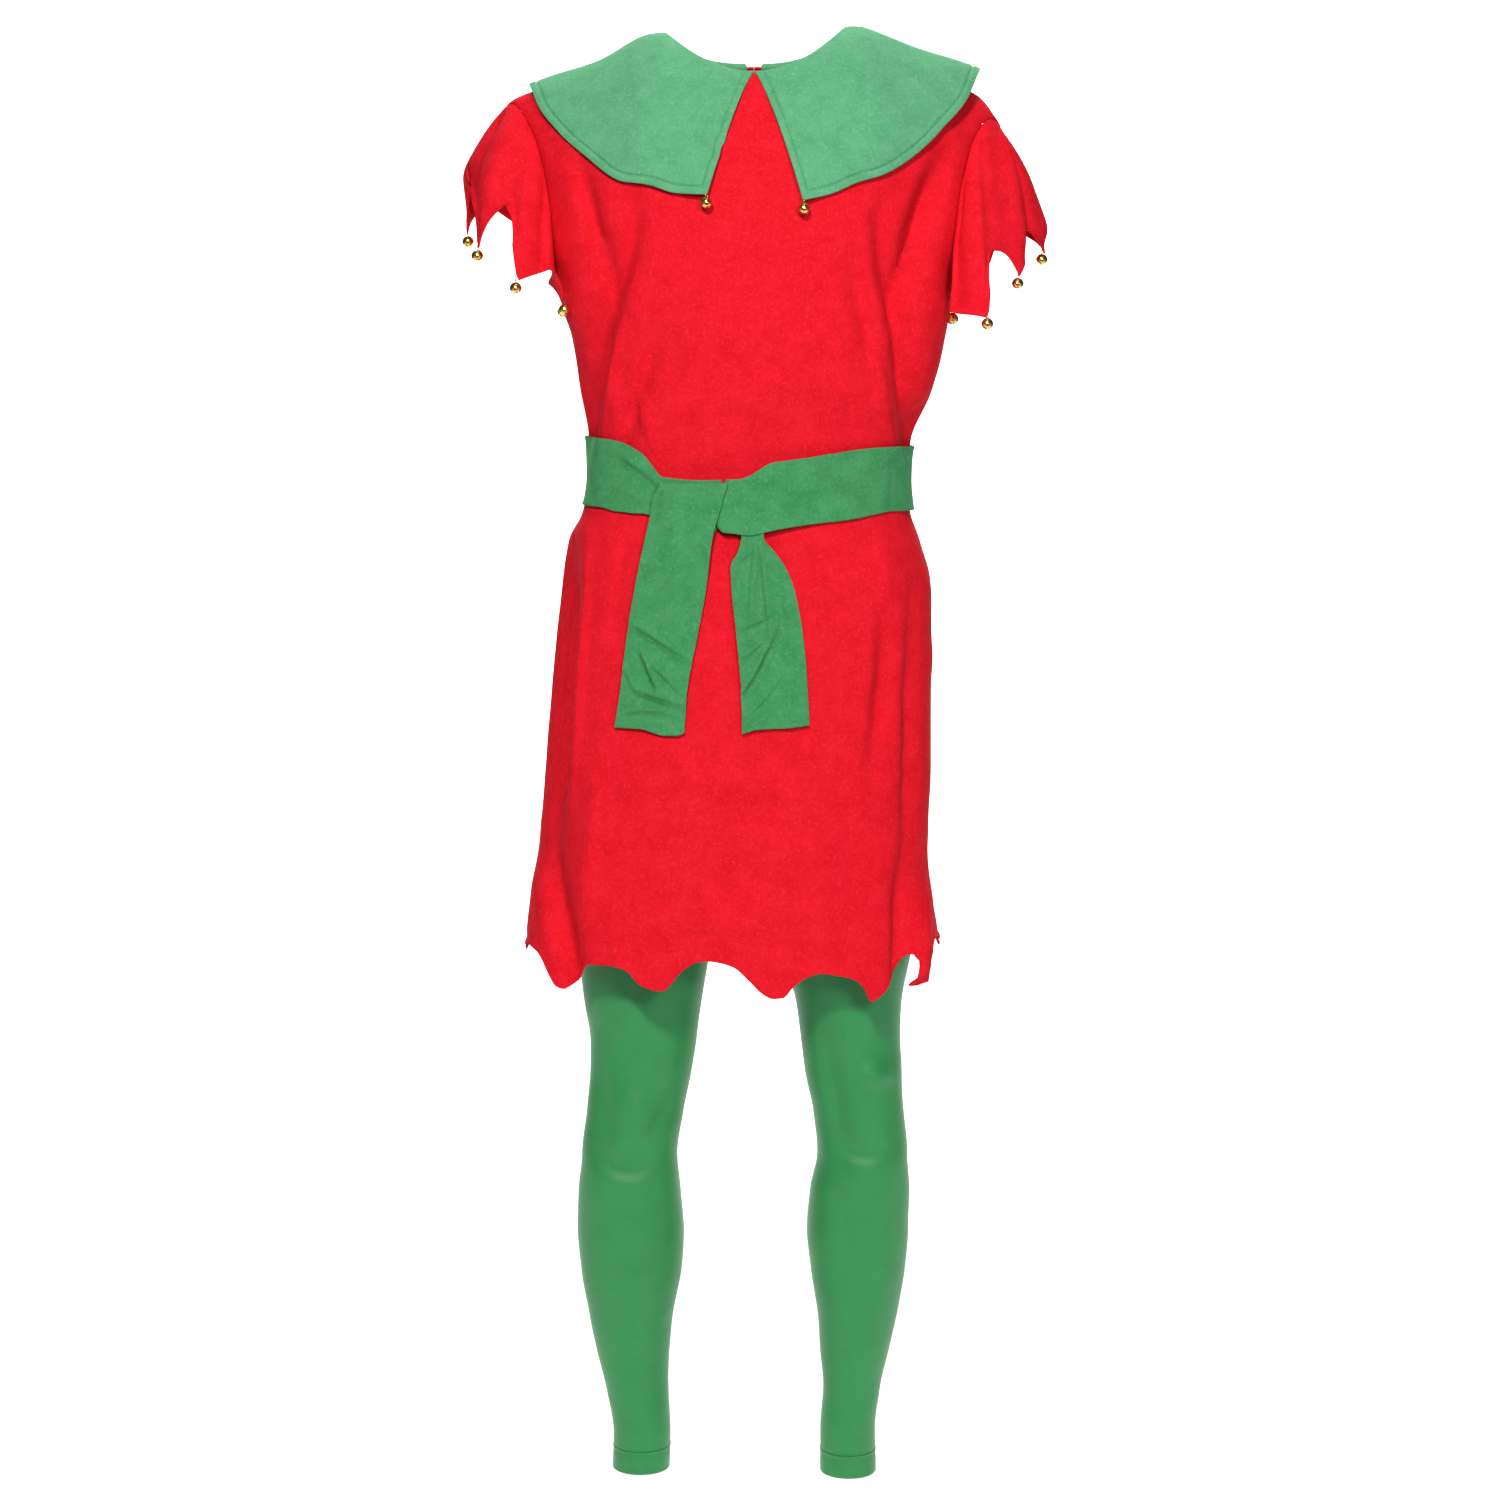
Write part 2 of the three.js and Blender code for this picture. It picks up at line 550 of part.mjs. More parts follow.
// One tunic panel, columns from the wearer's right to left, rows from the hem to the shoulder
function panelGrid(side, hem, neckColumns) {
  const columns = hem[hem.length - 1].column;
  const neckShare = NECK.half / armholeHalf(0);
  const hemShare = curve(hem, 'column', 'u');
  const topRows = [
    { column: 0, u: -1 },
    { column: neckColumns.first, u: -neckShare },
    { column: neckColumns.second, u: neckShare },
    { column: columns, u: 1 },
  ];
  const topShare = (i) => {
    const k = i <= neckColumns.first ? 0 : i <= neckColumns.second ? 1 : 2;
    const a = topRows[k];
    const b = topRows[k + 1];
    return mix(a.u, b.u, (i - a.column) / (b.column - a.column));
  };
  const grid = [];
  for (let i = 0; i <= columns; i += 1) {
    const low = hem.find((row) => row.column === i)?.u ?? hemShare(i);
    const high = topShare(i);
    const column = [];
    const edge = hemHeight(hem, low);
    HEM_ROWS.forEach((f) => column.push(bodyPoint(side, low, mix(edge, HEM_TOP, f))));
    [HEM_TOP, ...PANEL_LEVELS].forEach((z) => {
      column.push(bodyPoint(side, mix(low, high, (z - HEM_TOP) / (ARMPIT.z - HEM_TOP)), z));
    });
    column.push(bodyPoint(side, high, ARMPIT.z + ARMPIT.slope * high));
    const topX = SHOULDER_CENTRE + high * armholeHalf(0);
    const neck = i > neckColumns.first && i < neckColumns.second ? neckAngle(side, topX) : 0;
    for (let k = 0; k <= ARCH_STEPS; k += 1) {
      const f = k / ARCH_STEPS;
      const angle = mix(90, neck, f);
      const across = mix(90, 0, f);
      const half = armholeHalf(across);
      const depth = depthAt(side, ARCH_LEVEL) * Math.sin(radians(across));
      const x = acrossSection(high, half, half / armholeShare(across), depth);
      column.push(shoulderPoint(side, SHOULDER_CENTRE + x, angle, high));
    }
    grid.push(column);
  }
  return grid;
}

const armpitRow = HEM_ROWS.length + 1 + PANEL_LEVELS.length;
const topRow = armpitRow + ARCH_STEPS + 1;
const frontGrid = panelGrid(-1, FRONT_HEM, FRONT_NECK_COLUMNS);
const backGrid = panelGrid(1, BACK_HEM, BACK_NECK_COLUMNS);

// Direction through the cloth at each panel point; at the seams both pieces share it
function panelNormals(grid, side, neckColumns) {
  const last = grid.length - 1;
  const normals = gridNormals(grid, false, (p) => (
    new THREE.Vector3(p.x / 200, side, Math.max(0, (p.z - ARCH_LEVEL) / 100))));
  normals.forEach((column, i) => column.forEach((normal, j) => {
    const edge = i === 0 || i === last;
    const seam = j === topRow && (i <= neckColumns.first || i >= neckColumns.second);
    if ((edge && j < armpitRow) || seam) normal.setY(0).normalize();
  }));
  [0, last].forEach((i) => {
    for (let j = armpitRow; j <= topRow; j += 1) {
      normals[i][j].copy(armholeNormal(grid[i], i === 0 ? -1 : 1, side, j));
    }
  });
  return normals;
}

// The armhole seam's direction through the cloth: between the body's and the sleeve's
function armholeNormal(edge, hand, side, j) {
  const middle = new THREE.Vector3(0, 0, (edge[armpitRow].z + edge[topRow].z) / 2);
  const radial = new THREE.Vector3(0, edge[j].y, edge[j].z - middle.z).normalize();
  const up = Math.max(0, Math.cos(Math.PI * (topRow - j) / (topRow - armpitRow)));
  const body = new THREE.Vector3(hand * ARMHOLE_LEAN.across, side * ARMHOLE_LEAN.along * (1 - up), up);
  if (j === topRow || j === armpitRow) {
    radial.setY(0);
    body.setY(0);
  }
  return body.normalize().add(radial.normalize()).normalize();
}

const frontNormals = panelNormals(frontGrid, -1, FRONT_NECK_COLUMNS);
const backNormals = panelNormals(backGrid, 1, BACK_NECK_COLUMNS);
addPiece('tunic_front', wallGeometry(frontGrid, moved(frontGrid, frontNormals, -FLEECE)), RED);

// Half of the back, one side of the seam at the centre
function backHalf(name, hand) {
  const half = (columns) => (hand < 0
    ? columns.slice(0, BACK_SEAM_COLUMN + 1)
    : columns.slice(BACK_SEAM_COLUMN));
  const grid = half(backGrid.map((column, i) => column.map((p) => (
    i === BACK_SEAM_COLUMN ? p.clone().setX(p.x + (hand * SEAM) / 2) : p))));
  addPiece(name, wallGeometry(grid, moved(grid, half(backNormals), -FLEECE)), RED);
}

backHalf('tunic_back_right', -1);
backHalf('tunic_back_left', 1);

// Height of a sleeve's edge between a notch and a point, a hollow curve ending in a sharp point
function pointHeight(rows, i) {
  const order = [...rows].sort((a, b) => a.column - b.column);
  const k = order.findIndex((row, n) => n < order.length - 1 && i < order[n + 1].column);
  const [tip, notch] = order[k].kind === 'tip' ? [order[k], order[k + 1]] : [order[k + 1], order[k]];
  const near = Math.abs(i - notch.column) / Math.abs(tip.column - notch.column);
  return mix(notch.z, tip.z, near ** POINT_POWER);
}

// Sleeve from the armhole loop to its pointed hem
function sleeve(name, hand, hem) {
  const edge = hand < 0 ? 0 : -1;
  const front = frontGrid.at(edge);
  const back = backGrid.at(edge);
  const frontThrough = frontNormals.at(edge);
  const backThrough = backNormals.at(edge);
  const loop = [];
  const through = [];
  for (let j = topRow; j >= armpitRow; j -= 1) {
    loop.push(front[j].clone());
    through.push(frontThrough[j].clone());
  }
  for (let j = armpitRow + 1; j < topRow; j += 1) {
    loop.push(back[j].clone());
    through.push(backThrough[j].clone());
  }
  const count = loop.length;
  loop[0].y = 0;
  loop[topRow - armpitRow].y = 0;
  const starts = loop.map((p, i) => {
    const tangent = new THREE.Vector3().subVectors(loop[(i + 1) % count], loop[(i + count - 1) % count]);
    const away = tangent.cross(through[i]).normalize();
    if (away.x * hand < 0) away.negate();
    const under = Math.max(0, 1 - Math.abs(i - (topRow - armpitRow)) / UNDERARM.columns);
    return p.clone().addScaledVector(away, SEAM * mix(1, UNDERARM.seams, under));
  });
  const ring = (kind) => {
    const rows = hem.filter((row) => kind === 'edge' || row.kind === kind);
    const turns = [-1, 0, 1].flatMap((turn) => rows.map((row) => (
      { ...row, column: row.column + turn * count })));
    const [x, y, z] = ['x', 'y', 'z'].map((key) => curve(turns, 'column', key));
    return (i) => new THREE.Vector3(x(i), y(i), kind === 'edge' ? pointHeight(turns, i) : z(i));
  };
  const notch = ring('notch');
  const edgeAt = ring('edge');
  const swell = curve([-1, 0, 1].flatMap((turn) => hem.map((row) => (
    { ...row, column: row.column + turn * count }))), 'column', 'swell');
  const outer = starts.map((start, i) => {
    const top = notch(i);
    const end = edgeAt(i);
    top.x = mix(top.x, end.x, 0.5) + hand * swell(i);
    top.y = mix(top.y, end.y, 0.5);
    const control = new THREE.Vector3(mix(start.x, top.x, SLEEVE_CAP.reach),
      mix(start.y, top.y, SLEEVE_CAP.depth), mix(start.z, top.z, SLEEVE_CAP.fall));
    const cap = new THREE.QuadraticBezierCurve3(start, control, top);
    const capLength = cap.getLength();
    const hang = Math.max(0, top.z - end.z);
    const column = [];
    for (let j = 0; j <= SLEEVE_ROWS; j += 1) {
      const along = (j / SLEEVE_ROWS) * (capLength + hang);
      const below = hang > 0 ? Math.min(1, Math.max(0, (along - capLength) / hang)) : 0;
      const point = along < capLength ? cap.getPointAt(along / capLength)
        : top.clone().lerp(end, below);
      column.push(point);
    }
    return column;
  });
  const centre = new THREE.Vector3(hand * SLEEVE_MIDDLE.x, 0, SLEEVE_MIDDLE.z);
  const normals = gridNormals(outer, true, (p) => new THREE.Vector3().subVectors(p, centre));
  normals.forEach((column, i) => column[0].copy(through[i]));
  addPiece(name, wallGeometry(outer, moved(outer, normals, -FLEECE), true), RED);
}
sleeve('sleeve_right', -1, SLEEVE_RIGHT_HEM);
sleeve('sleeve_left', 1, SLEEVE_LEFT_HEM);

// Angle down from the shoulder seam of a place at height z on the tunic
const angleAt = (x, z) => {
  const share = 1 - Math.max(0, ridge(x) - z) / SHOULDER_DROP;
  return THREE.MathUtils.radToDeg(Math.acos(Math.max(0, share)));
};

// One half of the cape collar, laid on the shoulders and lifted off them at its outer edge
function collar(name, hand, rows, stand) {
  const outline = rows.map((row) => ({ ...row, angle: row.side * angleAt(row.x, row.z) }));
  const outerX = curve(outline, 't', 'x');
  const outerAngle = curve(outline, 't', 'angle');
  const outerLift = curve(outline, 't', 'lift');
  const grid = [];
  for (let i = 0; i <= COLLAR_COLUMNS; i += 1) {
    const t = i / COLLAR_COLUMNS;
    const meet = t < 0.5 ? COLLAR_MEET.front : COLLAR_MEET.back;
    const round = radians(mix(COLLAR_SWEEP.front, COLLAR_SWEEP.back, t));
    const neckX = SHOULDER_CENTRE + hand * Math.max(meet, NECK.half * Math.cos(round));
    const neckSide = t < 0.5 ? -1 : 1;
    const neck = neckSide * neckAngle(neckSide, neckX);
    const column = [];
    for (let j = 0; j <= COLLAR_ROWS; j += 1) {
      const f = j / COLLAR_ROWS;
      const x = mix(neckX, outerX(t), f);
      const angle = mix(neck, outerAngle(t), f);
      const point = shoulderPoint(angle < 0 ? -1 : 1, x, Math.abs(angle), 1);
      const seat = j === 0 ? COLLAR_SEAT.neck : COLLAR_SEAT.cape;
      const lift = seat + mix(stand * Math.cos(round) ** 2, outerLift(t), f ** COLLAR_FLARE);
      const up = Math.cos(radians(angle));
      const out = new THREE.Vector3(hand * COLLAR_LEAN.across * up, Math.sin(radians(angle)),
        COLLAR_LEAN.up * up);
      column.push(point.addScaledVector(out.normalize(), lift + FLEECE));
    }
    grid.push(column);
  }
  const normals = gridNormals(grid, false, (p) => new THREE.Vector3(hand * 0.3, p.y / 60, 0.6));
  addPiece(name, wallGeometry(grid, moved(grid, normals, -FLEECE)), GREEN);
  return grid;
}
const collarRightGrid = collar('collar_right', -1, COLLAR_RIGHT, COLLAR_STAND.right);
const collarLeftGrid = collar('collar_left', 1, COLLAR_LEFT, COLLAR_STAND.left);

// Ring of points round the waist at a height that varies, moved out from the tunic
function waistRing(columns, heightAt, out) {
  const ring = [];
  const total = columns.front + columns.back;
  for (let i = 0; i < total; i += 1) {
    const front = i < columns.front;
    const u = front ? mix(-1, 1, i / columns.front) : mix(1, -1, (i - columns.front) / columns.back);
    const side = front ? -1 : 1;
    const z = heightAt(side, u);
    const point = bodyPoint(side, u, z);
    const step = 0.02;
    const a = bodyPoint(side, Math.max(-1, u - step), z);
    const b = bodyPoint(side, Math.min(1, u + step), z);
    const edge = Math.abs(u) > 1 - step;
    const normal = edge ? new THREE.Vector3(Math.sign(u), 0, 0)
      : new THREE.Vector3(b.y - a.y, a.x - b.x, 0).normalize();
    if (normal.y * side < 0) normal.negate();
    if (edge) point.y = 0;
    ring.push(point.addScaledVector(normal, out));
  }
  return ring;
}

// Sash band round the waist
const bandCurves = {
  '-1': [curve(BAND_FRONT, 'u', 'bottom'), curve(BAND_FRONT, 'u', 'top')],
  '1': [curve(BAND_BACK, 'u', 'bottom'), curve(BAND_BACK, 'u', 'top')],
};
const bandRings = [];
for (let j = 0; j <= BAND_ROWS; j += 1) {
  bandRings.push(waistRing(BAND_COLUMNS, (side, u) => (
    mix(bandCurves[side][0](u), bandCurves[side][1](u), j / BAND_ROWS)), BAND_SEAT + FLEECE));
}
const bandGrid = bandRings[0].map((_, i) => bandRings.map((ring) => ring[i]));
const fromAxis = (p) => new THREE.Vector3(p.x, p.y, 0);
const bandNormals = gridNormals(bandGrid, true, fromAxis);
addPiece('sash_band', wallGeometry(bandGrid, moved(bandGrid, bandNormals, -FLEECE), true), GREEN);

// Front surface of the tunic and the band over it at a place seen from the front
function frontSurface(x, z) {
  const centre = (bodyLeft(z) + bodyRight(z)) / 2;
  const half = (bodyRight(z) - bodyLeft(z)) / 2;
  const y = sectionDepth(x - centre, half, bodyFront(z));
  return -y - Math.max(0, foldAt(-1, x, z, 0));
}

// Hanging end of the sash
function tail(name, rows, top, away) {
  const left = curve(rows, 'z', 'left');
  const right = curve(rows, 'z', 'right');
  const bottom = rows[0].z;
  const grid = [];
  for (let i = 0; i <= TAIL_COLUMNS; i += 1) {
    const column = [];
    for (let j = 0; j <= TAIL_ROWS; j += 1) {
      const z = mix(bottom, top, j / TAIL_ROWS);
      const x = mix(left(z), right(z), i / TAIL_COLUMNS);
      column.push(new THREE.Vector3(x, frontSurface(x, z) - away(z, i / TAIL_COLUMNS), z));
    }
    grid.push(column);
  }
  const normals = gridNormals(grid, false, () => new THREE.Vector3(0, -1, 0));
  addPiece(name, wallGeometry(grid, moved(grid, normals, -FLEECE)), GREEN);
}
const rightAway = curve(TAIL_RIGHT_AWAY, 'z', 'away');
tail('sash_tail_right', TAIL_RIGHT, TAIL_RIGHT.at(-1).z, rightAway);
const leftAway = curve(TAIL_LEFT_AWAY, 'z', 'away');
tail('sash_tail_left', TAIL_LEFT, TAIL_LEFT.at(-1).z, (z, share) => {
  const near = Math.max(0, 1 - (TAIL_LEFT_POUCH.z - z) / TAIL_LEFT_POUCH.length);
  return leftAway(z) + TAIL_LEFT_POUCH.depth * Math.sin(Math.PI * share) * near;
});

// Knot: the strip turned under beside the first tail, over the band
const knotLeft = curve(KNOT_EDGES, 'z', 'left');
const knotRight = curve(KNOT_EDGES, 'z', 'right');
const knotGrid = [];
for (let i = 0; i <= KNOT.columns; i += 1) {
  const column = [];
  const round = Math.sin((Math.PI * i) / KNOT.columns);
  for (let j = 0; j <= KNOT.rows; j += 1) {
    const z = mix(KNOT.bottom, KNOT.top, j / KNOT.rows);
    const x = mix(knotLeft(z), knotRight(z), i / KNOT.columns);
    const bulge = KNOT.bulge * round * Math.sin((Math.PI * (j + 1)) / (KNOT.rows + 2));
    column.push(new THREE.Vector3(x, frontSurface(x, z) - KNOT.away - bulge, z));
  }
  knotGrid.push(column);
}
const knotNormals = gridNormals(knotGrid, false, () => new THREE.Vector3(0, -1, 0));
addPiece('sash_knot', wallGeometry(knotGrid, moved(knotGrid, knotNormals, -FLEECE)), GREEN);

// Leggings
const legFront = curve(LEG_DEPTH, 'z', 'front');
const legBack = curve(LEG_DEPTH, 'z', 'back');

function legPoint(hand, sections, turn, z) {
  const centre = sections.centre(z);
  const half = sections.half(z);
  const middle = (legFront(z) + legBack(z)) / 2;
  const depth = (legBack(z) - legFront(z)) / 2;
  const gap = SEAM / 2 / depth;
  const most = Math.min(Math.PI - gap, Math.acos(Math.max(-1, -(centre - SEAM / 2) / half)));
  const angle = turn * most;
  const round = (value) => Math.sign(value) * Math.abs(value) ** (2 / LEG_SQUARENESS);
  const x = centre + half * round(Math.cos(angle));
  const y = middle + depth * round(Math.sin(angle));
  return new THREE.Vector3(LEG_MIDDLE + hand * Math.max(x, SEAM / 2), y, z);
}

function legging(name, hand, rows, lower) {
  const sections = { centre: curve(rows, 'z', 'centre'), half: curve(rows, 'z', 'half') };
  const hip = WAISTBAND.bottom - WAISTBAND.hip;
  const levels = [ANKLE.top - lower, ...LEG_LEVELS, hip, WAISTBAND.bottom - SEAM];
  const grid = [];
  for (let i = 0; i <= LEG_COLUMNS; i += 1) {
    const turn = mix(-1, 1, i / LEG_COLUMNS);
    grid.push(levels.map((z) => legPoint(hand, sections, turn, z)));
  }
  const normals = gridNormals(grid, false, (p) => {
    const centre = LEG_MIDDLE + hand * sections.centre(p.z);
    return new THREE.Vector3(p.x - centre, p.y - (legFront(p.z) + legBack(p.z)) / 2, 0);
  });
  [0, LEG_COLUMNS].forEach((i) => normals[i].forEach((normal, j) => {
    if (levels[j] > CROTCH) {
      normal.setX(0);
    } else {
      normal.setY(0);
    }
    normal.normalize();
  }));
  addPiece(name, wallGeometry(grid, moved(grid, normals, -JERSEY)), LEG_GREEN);
  const cuffLevels = [ANKLE.bottom, (ANKLE.bottom + ANKLE.top) / 2, ANKLE.top - SEAM];
  const cuff = [];
  for (let i = 0; i < LEG_COLUMNS; i += 1) {
    const turn = mix(-1, 1, i / LEG_COLUMNS);
    cuff.push(cuffLevels.map((z) => legPoint(hand, sections, turn, z - lower)));
  }
  const cuffNormals = gridNormals(cuff, true, (p) => (
    new THREE.Vector3(p.x - LEG_MIDDLE - hand * sections.centre(p.z), p.y, 0)));
  addPiece(name.replace('legging', 'legging_hem'),
    wallGeometry(cuff, moved(cuff, cuffNormals, -FLEECE), true), LEG_GREEN);
}
legging('legging_right', -1, LEG_RIGHT, 0);
legging('legging_left', 1, LEG_LEFT, ANKLE.lower);

// Waistband, from the tunic's own points at its two heights, moved in
const waistbandRows = [WAISTBAND.bottom, WAISTBAND.top].map((z) => (
  HEM_ROWS.length + 1 + PANEL_LEVELS.indexOf(z)));
const waistbandGrid = [];
const waistbandNormals = [];
[[frontGrid, frontNormals], [backGrid, backNormals]].forEach(([grid, normals], panel) => {
  const order = panel === 0 ? [...grid.keys()] : [...grid.keys()].reverse().slice(1, -1);
  for (const i of order) {
    const pairs = waistbandRows.map((j) => [grid[i][j], normals[i][j].clone().setZ(0).normalize()]);
    const inset = FLEECE + WAISTBAND.inside;
    waistbandGrid.push(pairs.map(([p, n]) => p.clone().addScaledVector(n, -inset)));
    waistbandNormals.push(pairs.map(([, n]) => n));
  }
});
addPiece('legging_waistband',
  wallGeometry(waistbandGrid, moved(waistbandGrid, waistbandNormals, -FLEECE), true), LEG_GREEN);

// Jingle bell: a ball with a rim round its middle, a shank on top and a slot below
function bellGeometry(radius) {
  const round = (angle) => [radius * Math.cos(radians(angle)), radius * Math.sin(radians(angle))];
  const profile = [
    [0, -radius],
    round(-BELL.shoulder),
    [radius + BELL.rim, 0],
    round(BELL.shoulder),
    [BELL.shank, radius - BELL.rim],
    [BELL.shank, radius + BELL.top - BELL.rim],
    [0, radius + BELL.top],
  ].map(([x, y]) => new THREE.Vector2(x, y));
  const ball = new THREE.LatheGeometry(profile, BELL.facets);
  ball.rotateX(Math.PI / 2);
  const slot = new THREE.BoxGeometry(radius * BELL_SLOT.reach, BELL_SLOT.width, radius * BELL_SLOT.depth);
  slot.translate(0, 0, -radius);
  return toGeometry(toManifold(ball).subtract(toManifold(slot)));
}

function toManifold(geometry) {
  const bare = geometry.clone();
  bare.deleteAttribute('normal');
  bare.deleteAttribute('uv');
  const merged = mergeVertices(bare, 1e-4);
  return new wasm.Manifold(new wasm.Mesh({
    numProp: 3,
    vertProperties: new Float32Array(merged.attributes.position.array),
    triVerts: new Uint32Array(merged.index.array),
  }));
}

function toGeometry(solid) {
  const mesh = solid.getMesh();
  const geometry = new THREE.BufferGeometry();
  geometry.setAttribute('position', new THREE.Float32BufferAttribute(mesh.vertProperties, 3));
  geometry.setIndex(new THREE.Uint32BufferAttribute(mesh.triVerts, 1));
  return geometry;
}

function bell(name, tip, turn) {
  const geometry = bellGeometry(BELL_DIAMETER / 2);
  geometry.rotateZ(radians(turn));
  geometry.translate(tip.x, tip.y, tip.z - BELL_DIAMETER / 2 - BELL.top - SEAM);
  addPiece(name, geometry, GOLD);
}
const throughMiddle = (grid) => {
  const tip = grid[0].at(-1);
  return new THREE.Vector3(tip.x, tip.y + FLEECE / 2, tip.z);
};
bell('bell_collar_right', throughMiddle(collarRightGrid), BELL_TURN.collarRight);
bell('bell_collar_left', throughMiddle(collarLeftGrid), BELL_TURN.collarLeft);
[['right', SLEEVE_RIGHT_HEM], ['left', SLEEVE_LEFT_HEM]].forEach(([hand, hem]) => {
  hem.filter((row) => row.kind === 'tip').forEach((row, k) => {
    const tip = new THREE.Vector3(row.x, row.y, row.z);
    bell(`bell_sleeve_${hand}_${k + 1}`, tip, BELL_TURN.step * k);
  });
});

export default costume;
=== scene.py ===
import math

import bpy
import numpy as np
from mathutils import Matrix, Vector


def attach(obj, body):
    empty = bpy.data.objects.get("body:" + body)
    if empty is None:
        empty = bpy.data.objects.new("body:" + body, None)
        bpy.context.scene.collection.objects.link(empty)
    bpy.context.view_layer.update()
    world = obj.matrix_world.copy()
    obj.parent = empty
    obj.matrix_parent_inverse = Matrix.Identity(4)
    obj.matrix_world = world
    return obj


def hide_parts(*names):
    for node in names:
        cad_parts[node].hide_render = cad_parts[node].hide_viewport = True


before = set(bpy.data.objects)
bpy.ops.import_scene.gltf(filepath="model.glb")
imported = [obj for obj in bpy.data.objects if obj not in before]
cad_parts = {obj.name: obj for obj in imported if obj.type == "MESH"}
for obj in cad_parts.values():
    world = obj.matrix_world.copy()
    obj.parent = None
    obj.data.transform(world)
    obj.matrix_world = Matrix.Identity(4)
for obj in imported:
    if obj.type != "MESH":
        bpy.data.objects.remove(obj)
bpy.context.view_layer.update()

MM = 0.001
FLEECE = 2.0
JERSEY = 1.2
SEAM = 0.3
SQUARENESS = 2.45
LEG_SQUARENESS = 2.1
BELL_DIAMETER = 11.5


# Tables and curves

def table(names, *rows):
    """Columns of a short table by their names."""
    columns = np.array(rows, float).T
    return dict(zip(names.split(), columns))


def curve(rows, at, value):
    """A smooth curve through one column against another, rising or falling as the rows do."""
    order = np.argsort(rows[at])
    xs = rows[at][order]
    ys = rows[value][order]
    secants = np.diff(ys) / np.diff(xs)
    slopes = np.empty_like(ys)
    slopes[0] = secants[0]
    slopes[-1] = secants[-1]
    before, after = secants[:-1], secants[1:]
    product = before * after
    total = np.where(product > 0, before + after, 1)
    slopes[1:-1] = np.where(product > 0, 2 * product / total, 0)

    def value_at(x):
        x = np.clip(np.asarray(x, float), xs[0], xs[-1])
        k = np.clip(np.searchsorted(xs, x, side="right") - 1, 0, len(xs) - 2)
        span = xs[k + 1] - xs[k]
        t = (x - xs[k]) / span
        start = (1 + 2 * t) * (1 - t) ** 2 * ys[k] + t * (1 - t) ** 2 * span * slopes[k]
        end = t * t * (3 - 2 * t) * ys[k + 1] + t * t * (t - 1) * span * slopes[k + 1]
        return start + end

    return value_at


def each_row(rows):
    """The rows of a table, each by its names."""
    return [dict(zip(rows, values)) for values in zip(*rows.values())]


def mix(a, b, t):
    return a + (b - a) * t


def bezier(start, control, end, t):
    return (1 - t) ** 2 * start + 2 * t * (1 - t) * control + t * t * end


def smooth_step(x, low, high):
    t = np.clip((x - low) / (high - low), 0, 1)
    return t * t * (3 - 2 * t)


def unit(v):
    return v / np.maximum(np.linalg.norm(v, axis=-1, keepdims=True), 1e-9)


BODY = table(
    "z left right front back",
    (-960, -225, 192, 126, 128),
    (-886, -225, 190, 124, 127),
    (-836, -220, 182, 121, 126),
    (-785, -211, 178, 119, 125),
    (-709, -205, 181, 118, 124),
    (-609, -196, 181, 116, 123),
    (-534, -188, 180, 112, 117),
    (-484, -180, 169, 104, 106),
    (-452, -164, 158, 98, 97),
    (-420, -159, 156, 96, 94),
    (-385, -160, 160, 99, 96),
    (-336, -168, 180, 108, 102),
    (-283, -176, 192, 115, 108),
    (-240, -188, 199, 118, 112),
    (20, -188, 199, 118, 112),
)
RIDGE = table(
    "x z",
    (-245, -62), (-239, -57), (-212, -44), (-150, -23), (-84, 8),
    (92, 8), (155, -18), (222, -49), (247, -78), (253, -86),
)
SHOULDER_CENTRE = 4
SHOULDER_DROP = 170
ARMPIT_Z = -248
ARMPIT_SLOPE = -8
ARMHOLE = table(
    "angle half share",
    (0, 243, 0.94), (31, 223, 0.94), (52, 208, 0.94), (71, 199, 0.95), (90, 194.5, 0.967),
)
NECK_HALF = 86.8
NECK_ANGLE = {-1: 41, 1: 31}
NECK_POWER = {-1: 2.0, 1: 3.0}

FRONT_HEM = table(
    "column u", (0, -1.0), (6, -0.64), (13, -0.27), (20, 0.15), (26, 0.52), (31, 0.75), (35, 1.0)
)
FRONT_EDGE = table(
    "u z",
    (-1.0, -889), (-0.87, -882), (-0.77, -886), (-0.735, -893), (-0.698, -906), (-0.66, -917),
    (-0.627, -919), (-0.603, -914), (-0.579, -908), (-0.556, -897), (-0.53, -893), (-0.49, -892),
    (-0.46, -892), (-0.413, -893), (-0.389, -895), (-0.365, -899), (-0.341, -907), (-0.31, -912),
    (-0.27, -915), (-0.246, -915), (-0.222, -909), (-0.199, -901), (-0.175, -894.5),
    (-0.15, -889.5), (-0.127, -886.5), (-0.09, -885.5), (-0.053, -886.5),
    (0.007, -891.5), (0.06, -904.5), (0.109, -918), (0.144, -922.5), (0.18, -921.5),
    (0.211, -912), (0.258, -903), (0.315, -898.5), (0.373, -901), (0.432, -905), (0.459, -910),
    (0.478, -916), (0.492, -926), (0.503, -928.5), (0.525, -925.5), (0.552, -920), (0.585, -911),
    (0.625, -900), (0.655, -890), (0.675, -886.5), (0.695, -887), (0.706, -895), (0.72, -916),
    (0.737, -922), (0.758, -914), (0.772, -892), (0.79, -883), (0.857, -876), (0.93, -876),
    (1.0, -884),
)
CURL = {"low": 0.695, "high": 0.785, "top": -900, "drop": 22, "reach": 13, "back": 5}
BACK_HEM = table(
    "column u tip arch",
    (0, -1.0, -895, -885), (5, -0.6, -922, -888), (10, -0.2, -920, -889),
    (16, 0.2, -924, -890), (21, 0.6, -922, -888), (26, 1.0, -890, -884),
)
HEM_POWER = 2.2
HEM_TOP = -840
ARCH_LEVEL = -150
